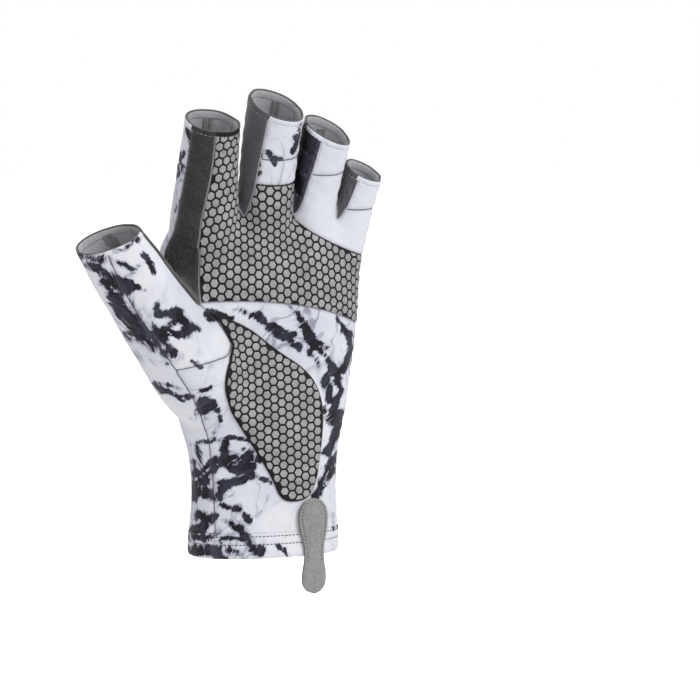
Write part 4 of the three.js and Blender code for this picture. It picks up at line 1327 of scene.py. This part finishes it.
# The patch's cloth is darkened as at a seam only this close to its edge, in millimetres
EDGE_GAP = 0.4
everything = np.full(len(skin), REST)
heel_points, heel_skin, heel_label = cut(straight.copy(), skin, everything, lambda p: on_front(HEEL_GRIP, p), 0)
heel_skin = heel_skin[heel_label == 0]
kept, triangles = compact(heel_points, heel_skin)
heel_straight = heel_points[kept]
heel_worn = bent(heel_straight)
heel_normals = normals_of(heel_worn, triangles)
heel_worn = heel_worn + heel_normals * (RIPPLE * ripple(heel_worn))[:, None]
edge_gap = np.maximum(in_outline(eased(HEEL_GRIP), heel_straight[:, [0, 2]]), 0)
stand_off = PATCH_OUT - EDGE_ROUND * np.exp(-edge_gap / EDGE_REACH)
flat, area = flat_layout("heel_grip", heel_worn, triangles, heel_straight[:, 2])
values = {"seam_gap": edge_gap + EDGE_GAP, "pale_gap": np.full(len(kept), CLEAR)}
cloths = [GRIP_BLACK, GRIP_BLACK]
heel = shell("heel_grip_patch", heel_worn, heel_normals, triangles, flat, stand_off[:, None], -PATCH_IN, cloths, values)
on_glove(heel, "grip_cloth", "heel_grip")
size = (flat.max(0) - flat.min(0)) * MM
min(area * MM**2, size.prod())
heel_layout = (heel_worn + heel_normals * PATCH_OUT, heel_normals, triangles, flat)


# Silicone hexagons: one is modelled, and its copies are laid on the patch's flat pattern and cut off at its edges
HEX_PITCH, HEX_GAP, HEX_HEIGHT = 3.95, 0.88, 0.45
# The steps that shape a stud's top: how far in and how far up. The last one is its dimple.
HEX_TOP = [(0.22, 0.14), (0.62, 0.02), (0.3, -0.14)]
# The angle up to which edges of studs and of tapes are shaded smooth
HEX_SMOOTH, TAPE_SMOOTH = math.radians(32), math.radians(40)
# How far the field of studs is stretched across and along the palm, how deep its studs are set, and how far they keep
# from the edge of each patch
PALM_STRETCH, HEX_SUNK = np.array([0.95, 1.07]), 0.12
PALM_INSET, HEEL_INSET, HEEL_TURN = 0.45, 0.8, 2.0
# A stud is left out where its middle is this much nearer to the edge than that, or more than this share of its points
# would be pulled in
HEX_PAST, HEX_PULLED = 0.5, 0.8


def turning(degrees):
    """The matrix that turns flat places, as rows, by an angle."""
    c, s = math.cos(math.radians(degrees)), math.sin(math.radians(degrees))
    return np.array([[c, s], [-s, c]])


def one_hexagon():
    """A hexagonal stud in millimetres, with a soft upper edge and a dimple."""
    choose()
    radius = (HEX_PITCH - HEX_GAP) / math.sqrt(3)
    bpy.ops.mesh.primitive_cylinder_add(vertices=6, radius=radius, depth=HEX_HEIGHT, location=(0, 0, HEX_HEIGHT / 2))
    stud = bpy.context.active_object
    bpy.ops.object.mode_set(mode="EDIT")
    bpy.ops.mesh.select_mode(type="FACE")
    bpy.ops.mesh.select_all(action="DESELECT")
    mesh = bmesh.from_edit_mesh(stud.data)
    mesh.faces.ensure_lookup_table()
    for face in mesh.faces:
        face.select_set(face.normal.z > 0.9)
    bmesh.update_edit_mesh(stud.data)
    for thickness, depth in HEX_TOP:
        bpy.ops.mesh.inset(thickness=thickness, depth=depth)
    mesh = bmesh.from_edit_mesh(stud.data)
    bmesh.ops.delete(mesh, geom=[f for f in mesh.faces if f.normal.z < -0.9], context="FACES_ONLY")
    bmesh.update_edit_mesh(stud.data)
    bpy.ops.object.mode_set(mode="OBJECT")
    points = np.array([v.co for v in stud.data.vertices])
    points[:, :2] = points[:, :2] @ turning(30)
    faces = [list(p.vertices) for p in stud.data.polygons]
    bpy.data.objects.remove(stud)
    return points, faces


def inward(outline, flat, inset):
    """Flat points pulled inside an outline by at least a distance, and how far inside they were."""
    away = off_edges(outline, flat)
    size = np.linalg.norm(away, axis=-1)
    nearest = np.arange(len(flat)), size.argmin(1)
    away, size = away[nearest], size[nearest]
    signed = in_outline(outline, flat)
    direction = away / np.maximum(size, 1e-9)[:, None] * np.sign(signed)[:, None]
    return np.where((signed < inset)[:, None], flat - away + direction * inset, flat), signed


def hexagons(name, slot, patch, turn, inset, stretch=1.0):
    """All the studs of one patch, as one mesh."""
    points, normals, triangles, flat = patch
    outline = flat[loops_of(rim_edges(triangles))[0]]
    shape, faces = one_hexagon()
    spin = turning(turn)
    column_pitch = HEX_PITCH * math.sqrt(3) / 2
    reach = int(np.abs(flat).max() / HEX_PITCH * 2)
    steps = range(-reach, reach + 1)
    grid = np.array([(i * column_pitch, (j + 0.5 * (i % 2)) * HEX_PITCH) for i in steps for j in steps])
    middles = grid * stretch @ spin
    middles = middles[((middles > flat.min(0) - HEX_PITCH / 2) & (middles < flat.max(0) + HEX_PITCH / 2)).all(1)]
    middles = middles[in_outline(outline, middles) > inset - HEX_PAST]
    surface_tree = BVHTree.FromPolygons([(u, v, 0.0) for u, v in flat], triangles.tolist())
    placed, made = [], []
    for middle in middles:
        around_it = middle + shape[:, :2] * stretch @ spin
        pulled, signed = inward(outline, around_it, inset)
        if (signed < inset).mean() > HEX_PULLED:
            continue
        start = len(placed)
        for (u, v), height in zip(pulled, shape[:, 2]):
            near, _, index, _ = surface_tree.find_nearest((u, v, 0.0))
            corners = triangles[index]
            a, b, c = flat[corners]
            sides = np.array([b - a, c - a]).T
            solid = abs(np.linalg.det(sides)) > 1e-12
            share = np.linalg.solve(sides, np.array([near.x, near.y]) - a) if solid else np.zeros(2)
            weight = np.array([1 - share.sum(), *share])
            normal = weight @ normals[corners]
            placed.append(weight @ points[corners] + normal / np.linalg.norm(normal) * (height - HEX_SUNK))
        made.extend([[i + start for i in face] for face in faces])
    piece = new_object(name, placed, made)
    piece.data.materials.append(SILICONE)
    choose(piece)
    bpy.ops.object.shade_smooth_by_angle(angle=HEX_SMOOTH)
    return on_glove(piece, slot)


hexagons("palm_hexagons", "grip_cloth", grip_layout, 0.0, PALM_INSET, PALM_STRETCH)
hexagons("heel_hexagons", "grip_cloth", heel_layout, HEEL_TURN, HEEL_INSET)


# Stitches: one is modelled, and its copies follow a row. Pitch, length and thickness of each kind.
EDGE_STITCH, HEM_STITCH, TAB_STITCH = (1.9, 1.3, 0.28), (1.75, 1.25, 0.42), (1.5, 1.0, 0.34)


def one_stitch():
    """A stitch one millimetre long and one thick, along +X."""
    choose()
    bpy.ops.mesh.primitive_uv_sphere_add(segments=6, ring_count=5, radius=0.5)
    stitch = bpy.context.active_object
    points = np.array([v.co for v in stitch.data.vertices])[:, [2, 0, 1]]
    faces = [list(p.vertices) for p in stitch.data.polygons]
    bpy.data.objects.remove(stitch)
    return points, faces


def resampled(line, count, closed):
    """Evenly spaced points along a line, and its length."""
    line = np.array(line, float)
    if closed:
        line = np.concatenate([line, line[:1]])
    along = np.concatenate([[0], np.cumsum(np.linalg.norm(np.diff(line, axis=0), axis=1))])
    at = np.linspace(0, along[-1], count, endpoint=not closed)
    return np.stack([np.interp(at, along, line[:, k]) for k in range(line.shape[1])], -1), along[-1]


def along_line(places, ups, closed):
    """The direction of a line at its points, and its upward directions turned square to it."""
    heading = unit(np.roll(places, -1, 0) - np.roll(places, 1, 0) if closed else np.gradient(places, axis=0))
    return heading, unit(ups - heading * (ups * heading).sum(1)[:, None])


def stitches(name, slot, rows, closed, material, kind):
    """Rows of stitches as one mesh. A row is its line with the directions out of the cloth."""
    shape, faces = one_stitch()
    pitch, length, thick = kind
    placed, made = [], []
    for line, out in rows:
        _, total = resampled(line, 2, closed)
        spaced, _ = resampled(np.concatenate([line, out], 1), int(total / pitch), closed)
        places = spaced[:, :3]
        heading, ups = along_line(places, spaced[:, 3:], closed)
        for place, x, y, z in zip(places, heading, np.cross(ups, heading), ups):
            start = len(placed)
            placed.extend(place + shape[:, :1] * length * x + shape[:, 1:2] * thick * y + shape[:, 2:] * thick * z)
            made.extend([[i + start for i in face] for face in faces])
    piece = new_object(name, placed, made)
    clothe(piece, [material])
    return on_glove(piece, slot)


# Turned edges of the five openings, swept round their loops. The profile goes over the top from the outside to the
# inside: how far past the cut, and how far out of the cloth.
RIM_PROFILE = np.array([
    (-0.5, -0.35), (-0.25, 0.08), (0.3, 0.2), (1.1, 0.2), (1.75, 0.0), (2.0, -0.4), (1.95, -0.8), (1.5, -1.2),
    (0.2, -1.35), (-1.2, -1.38), (-1.9, -1.32), (-2.0, -1.15), (-1.0, -0.9),
])
# The profile's stretches with the panel's cloth, and with the lining
RIM_OUTSIDE, RIM_INSIDE = 5, 7
RIM_AROUND, RIM_ROUNDS = 96, 6
# Where the stitches lie: below the cut, and out of the cloth
RIM_STITCH_BELOW, RIM_STITCH_OUT = 0.35, 0.08
# The five ends and the wrist
OPENINGS = 6


def clear_of_seams(piece, *names):
    """Marks all of a piece as away from seams."""
    for name in names:
        store(piece.data, name, np.full(len(piece.data.vertices), CLEAR))


loops = loops_of(rim_edges(skin))[:OPENINGS]
loop_middles = [worn[loop].mean(0) for loop in loops]
point_label = np.zeros(len(worn), int)
point_label[skin.ravel()] = np.repeat(label, 3)
edge_rows = []
for name in [*FINGERS, "thumb"]:
    target = bent(section(name, np.array([1.0]))[0])[0]
    loop = loops[np.argmin([np.linalg.norm(middle - target) for middle in loop_middles])]
    spaced, total = resampled(np.concatenate([worn[loop], normals[loop]], 1), RIM_AROUND, True)
    for _ in range(RIM_ROUNDS):
        spaced = spaced * 0.5 + (np.roll(spaced, 1, 0) + np.roll(spaced, -1, 0)) * 0.25
    middle = spaced[:, :3]
    heading, out = along_line(middle, spaced[:, 3:], True)
    away = np.cross(heading, out)
    if away.mean(0) @ (target - middle.mean(0)) < 0:
        away = -away
    points = middle[:, None] + away[:, None] * RIM_PROFILE[:, :1] + out[:, None] * RIM_PROFILE[:, 1:]
    points, steps = points.reshape(-1, 3), len(RIM_PROFILE)
    piece = new_object(name + "_rim_edge", points, grid_quads(RIM_AROUND, steps)[:, FLIPPED])
    # the outside of the turned edge is the cloth of the panel below it
    nearest = KDTree(len(loop))
    for k, point in enumerate(loop):
        nearest.insert(worn[point], k)
    nearest.balance()
    below = [CLOTHS[NAMES[point_label[loop[nearest.find(m)[1]]]]][0] for m in middle]
    cloths = [RIM, LINING, *dict.fromkeys(below)]
    index = np.zeros((RIM_AROUND, steps), int)
    index[:, RIM_INSIDE:] = 1
    index[:, :RIM_OUTSIDE - 1] = [[cloths.index(cloth)] for cloth in below]
    clothe(piece, cloths, index)
    girth = np.cumsum(np.linalg.norm(np.diff(RIM_PROFILE, axis=0, prepend=RIM_PROFILE[-1:]), axis=1))
    flat = np.meshgrid(np.arange(RIM_AROUND) * total / RIM_AROUND, girth, indexing="ij")
    lay_out(piece.data, np.stack(flat, -1).reshape(-1, 2))
    store(piece.data, "ink", ink_at(points, np.repeat(out, steps, axis=0)))
    clear_of_seams(piece, "seam_gap", "pale_gap")
    face_outward(piece)
    on_glove(piece, "rim_cloth", name + "_rim")
    edge_rows.append((middle - away * RIM_STITCH_BELOW + out * RIM_STITCH_OUT, out))
stitches("finger_edge_stitches", "rim_cloth", edge_rows, True, PALE_THREAD, EDGE_STITCH)

# Cuff hem, turned up and stitched twice. The profile goes down the outside and up the inside: height, and distance out.
HEM_PROFILE = [
    (11.2, -0.2), (11.0, 0.22), (10.5, 0.42), (10.15, 0.28), (9.9, 0.16), (9.65, 0.28), (9.2, 0.5), (8.1, 0.6),
    (6.95, 0.5), (6.55, 0.3), (6.3, 0.16), (6.05, 0.3), (5.6, 0.55), (4.0, 0.72), (2.0, 0.78), (0.8, 0.6), (0.2, 0.2),
    (0.0, -0.4), (0.25, -1.1), (0.9, -1.6), (2.5, -1.78), (7.0, -1.78), (10.6, -1.75), (11.3, -1.5), (11.4, -1.0),
]
# The profile's step that tells the palm from the back, and the first one with the lining
HEM_SIDE, HEM_INSIDE = 8, 17
HEM_ROWS, HEM_STITCH_OUT = (9.9, 6.3), 0.28
HEM_AROUND, HEM_MIDDLE = 160, 6.0
# How far the hem's seam lies from the palm's edge
HEM_SEAM = 0.3


def round_cuff(height, out=0.0):
    """Points round the cuff at a height, moved out by a distance."""
    return on_section("palm", height / CROTCH, np.arange(HEM_AROUND) * 360 / HEM_AROUND, out)


points = bent(np.stack([round_cuff(*row) for row in HEM_PROFILE], 1).reshape(-1, 3))
steps = len(HEM_PROFILE)
hem = new_object("cuff_hem_cloth", points, grid_quads(HEM_AROUND, steps))
front_edge = PALM_FRONT[0][0] * PALM_BREADTH + HEM_SEAM
is_palm = (points[:, 0] > front_edge) & (points[:, 1] < SIDE_SEAM_Y)
index = np.repeat(is_palm.reshape(HEM_AROUND, steps)[:, HEM_SIDE, None].astype(int), steps, 1)
index[:, HEM_INSIDE:] = 2
clothe(hem, (PRINT_BACK, PRINT_PALM, LINING), index)
line = round_cuff(HEM_MIDDLE)
girth = np.linalg.norm(np.roll(line, -1, 0) - line, axis=1).sum()
flat = np.meshgrid(np.arange(HEM_AROUND) * girth / HEM_AROUND, [height for height, _ in HEM_PROFILE], indexing="ij")
lay_out(hem.data, np.stack(flat, -1).reshape(-1, 2))
store(hem.data, "ink", ink_at(points, points * [1, 1, 0] / np.linalg.norm(points[:, :2], axis=1)[:, None]))
hem_gap = np.abs(points[:, 0] - front_edge) + np.where(points[:, 1] < 0, 0, FAR)
store(hem.data, "seam_gap", np.minimum(hem_gap, CLEAR))
clear_of_seams(hem, "pale_gap")
face_outward(hem)
on_glove(hem, "printed_knit", "cuff_hem")
hem_rows = []
for height in HEM_ROWS:
    line, outer = (bent(round_cuff(height, HEM_STITCH_OUT + more)) for more in (0, 1))
    hem_rows.append((line, outer - line))
stitches("hem_stitches", "printed_knit", hem_rows, True, DARK_THREAD, HEM_STITCH)

# Pull tab, from its outline: place along it and half its width, as shares of its sizes
TAB_ROWS = [
    (0.0, 0.0), (0.02, 0.17), (0.07, 0.34), (0.14, 0.405), (0.22, 0.4), (0.36, 0.335), (0.52, 0.355), (0.65, 0.45),
    (0.74, 0.49), (0.84, 0.485), (0.93, 0.37), (0.98, 0.19), (1.0, 0.0),
]
TAB_LENGTH, TAB_WIDTH, TAB_THICKNESS = 43.0, 15.5, 1.6
TAB_ASIDE, TAB_BELOW, TAB_OFF = 0.176, 0.4, 0.8
TAB_STEPS, TAB_ACROSS, TAB_END = 72, 20, 0.02
# Its edge's rounding, and the stitched groove: depth, width, distance from the edge, and the shares where it starts
TAB_ROUND, TAB_ROUND_REACH = 0.5, 0.5
TAB_GROOVE, TAB_GROOVE_WIDTH, TAB_INSET, TAB_GROOVE_START = 0.16, 0.35, 1.5, (0.3, 0.4)
# Its row of stitches: from where to where, points along it, how deep it lies, and least distance from the middle
TAB_STITCHED, TAB_STITCH_POINTS, TAB_STITCH_SUNK, TAB_ROW_LEAST = (0.36, 0.955), 60, 0.1, 0.2


def on_cuff_front(x, z, out):
    """The cuff's palm side at sideways and upward places, moved out. Below the cuff it runs on straight down."""
    middle, _, _, half_width, half_depth, square = palm_section(z / CROTCH)
    reach = np.clip(np.abs(x - middle[:, 0]) / (half_width + out), 0, 0.999)
    y = -(half_depth + out) * (1 - reach**square) ** (1 / square)
    return np.stack([x, y, z], -1)


def tab_half(share):
    """Half the tab's width at shares of its length."""
    return smooth_rows(TAB_ROWS, share)[0] * TAB_WIDTH


def tab_place(share, aside, out):
    """Points of the tab at a height, with the directions out of it: share of its length, and of half its width."""
    x, z = TAB_ASIDE * PALM_BREADTH + aside * tab_half(share), (share - TAB_BELOW) * TAB_LENGTH
    under, over = (bent(on_cuff_front(x, z, TAB_OFF + out + more)) for more in (0, 1))
    return under, over - under


share = (1 - np.cos(np.linspace(TAB_END, math.pi - TAB_END, TAB_STEPS))) / 2
share, aside = (g.ravel() for g in np.meshgrid(share, np.linspace(-1, 1, TAB_ACROSS), indexing="ij"))
under, up = tab_place(share, aside, 0)
room = np.minimum((1 - np.abs(aside)) * tab_half(share), np.minimum(share, 1 - share) * TAB_LENGTH)
groove = TAB_GROOVE * np.exp(-((room - TAB_INSET) / TAB_GROOVE_WIDTH) ** 2) * rises(*TAB_GROOVE_START, share)
height = TAB_THICKNESS - TAB_ROUND * np.exp(-room / TAB_ROUND_REACH) - groove
quads = grid_quads(TAB_STEPS, TAB_ACROSS, False, False)
triangles = np.concatenate([quads[:, [0, 1, 2]], quads[:, [0, 2, 3]]])
flat = np.stack([aside * tab_half(share), share * TAB_LENGTH], -1)
tab = shell("pull_tab_suede", under, unit(up), triangles, flat, height[:, None], 0.0, [SUEDE, RIM], {})
clear_of_seams(tab, "seam_gap", "pale_gap")
on_glove(tab, "tab_suede", "pull_tab")
share = np.linspace(*TAB_STITCHED, TAB_STITCH_POINTS)
aside = np.maximum(tab_half(share) - TAB_INSET, TAB_ROW_LEAST) / tab_half(share)
share, aside = np.concatenate([share, share[::-1]]), np.concatenate([aside, -aside[::-1]])
row = tab_place(share, aside, TAB_THICKNESS - TAB_STITCH_SUNK)
stitches("tab_stitches", "tab_suede", [row], False, DARK_THREAD, TAB_STITCH)

# Seam tapes inside the openings, at an angle on the back wall of each finger and the thumb, and from which share of it
TAPES = {"index": (84, 0.05), "middle": (72, 0.05), "ring": (84, 0.05), "pinky": (92, 0.05), "thumb": (92, 0.5)}
# How far below an opening a tape starts and ends, half its width, and its steps along
TAPE_DEEP, TAPE_TOP, TAPE_HALF, TAPE_STEPS = 34, 3.4, 2.2, 16
# Round the tape's section: share of its half width, and distance out of the glove's outer face
TAPE_SECTION = [
    (-1, -1.45), (-0.92, -1.85), (-0.25, -2.0), (-0.12, -1.7), (0.12, -1.7), (0.25, -2.0), (0.92, -1.85), (1, -1.45),
    (0, -1.2),
]
placed, made, flat = [], [], []
for name, (angle, lowest) in TAPES.items():
    length, start = length_of(name), len(placed)
    shares = np.linspace(max(1 - TAPE_DEEP / length, lowest), 1 - TAPE_TOP / length, TAPE_STEPS)
    turn = np.degrees(TAPE_HALF / section(name, shares)[3])
    for side, out in TAPE_SECTION:
        placed.extend(bent(on_section(name, shares, angle + side * turn, out)).tolist())
        flat.extend([(side * TAPE_HALF, share * length) for share in shares])
    made.extend((grid_quads(len(TAPE_SECTION), TAPE_STEPS, columns_close=False)[:, FLIPPED] + start).tolist())
    made.append(list(range(start, len(placed), TAPE_STEPS))[::-1])
    made.append(list(range(start + TAPE_STEPS - 1, len(placed), TAPE_STEPS)))
tapes = new_object("inner_seam_tapes", placed, made)
tapes.data.materials.append(TAPE)
lay_out(tapes.data, np.array(flat))
clear_of_seams(tapes, "seam_gap", "pale_gap")
face_outward(tapes)
bpy.ops.object.shade_smooth_by_angle(angle=TAPE_SMOOTH)
on_glove(tapes, "rim_cloth")

# Floor, light and camera
FLOOR_Z, FLOOR_SIZE, FLOOR_GLOW = -0.26, 30, 0.8
FLOOR_COLOURS, BLACK, WHITE = ((0.90, 0.90, 0.90), (0.93, 0.93, 0.93)), (0.0, 0.0, 0.0), (1.0, 1.0, 1.0)
# The sky's strength on the glove, and as the camera sees it
SKY_LIGHT, SKY_SEEN = 0.5, 1.0
SENSOR, LENS = 36.0, 150.0
# Lamps: place in metres, size and power
LAMPS = {
    "key_light": ((0.75, -1.1, 1.0), 0.7, 11.0),
    "top_light": ((-0.1, 0.1, 1.3), 0.9, 4.0),
    "fill_light": ((-1.3, -0.8, 0.3), 1.0, 2.0),
    "back_light": ((0.5, 1.3, 0.7), 1.0, 6.0),
}
LAMPS_AIM = Vector((0, 0, 0.1))
choose()
bpy.ops.mesh.primitive_plane_add(size=FLOOR_SIZE, location=(0, 0, FLOOR_Z))
floor = bpy.context.active_object
floor.name = "floor"
pale, tree, shader = surface("pale_floor", 0.9)
place = own_place(tree)
tree.links.new(mixed(tree, noise(tree, place, 3.0), *FLOOR_COLOURS), shader.inputs["Base Color"])
seen = put(tree, "ShaderNodeLightPath").outputs["Is Camera Ray"]
tree.links.new(mixed(tree, seen, BLACK, WHITE), shader.inputs["Emission Color"])
shader.inputs["Emission Strength"].default_value = FLOOR_GLOW
floor.data.materials.append(pale)

world = bpy.data.worlds.new("studio")
bpy.context.scene.world = world
world.use_nodes = True
tree = world.node_tree
seen = put(tree, "ShaderNodeLightPath").outputs["Is Camera Ray"]
strength = between(tree, seen, 0.0, 1.0, SKY_LIGHT, SKY_SEEN)
tree.links.new(strength, tree.nodes["Background"].inputs["Strength"])
tree.nodes["Background"].inputs["Color"].default_value = (*WHITE, 1.0)

for name, (place, size, power) in LAMPS.items():
    light = bpy.data.lights.new(name, "AREA")
    light.size, light.energy = size, power
    lamp = bpy.data.objects.new(name, light)
    bpy.context.scene.collection.objects.link(lamp)
    lamp.location = place
    lamp.rotation_euler = (LAMPS_AIM - Vector(place)).to_track_quat("-Z", "Y").to_euler()

camera = bpy.data.objects.new("camera", bpy.data.cameras.new("camera"))
bpy.context.scene.collection.objects.link(camera)
camera.data.sensor_width, camera.data.lens = SENSOR, LENS
camera.location = Vector(view_from * MM)
camera.rotation_mode = "QUATERNION"
camera.rotation_quaternion = Vector(view_toward).to_track_quat("Z", "Y")
bpy.context.scene.camera = camera
bpy.context.scene.view_settings.view_transform = "Standard"
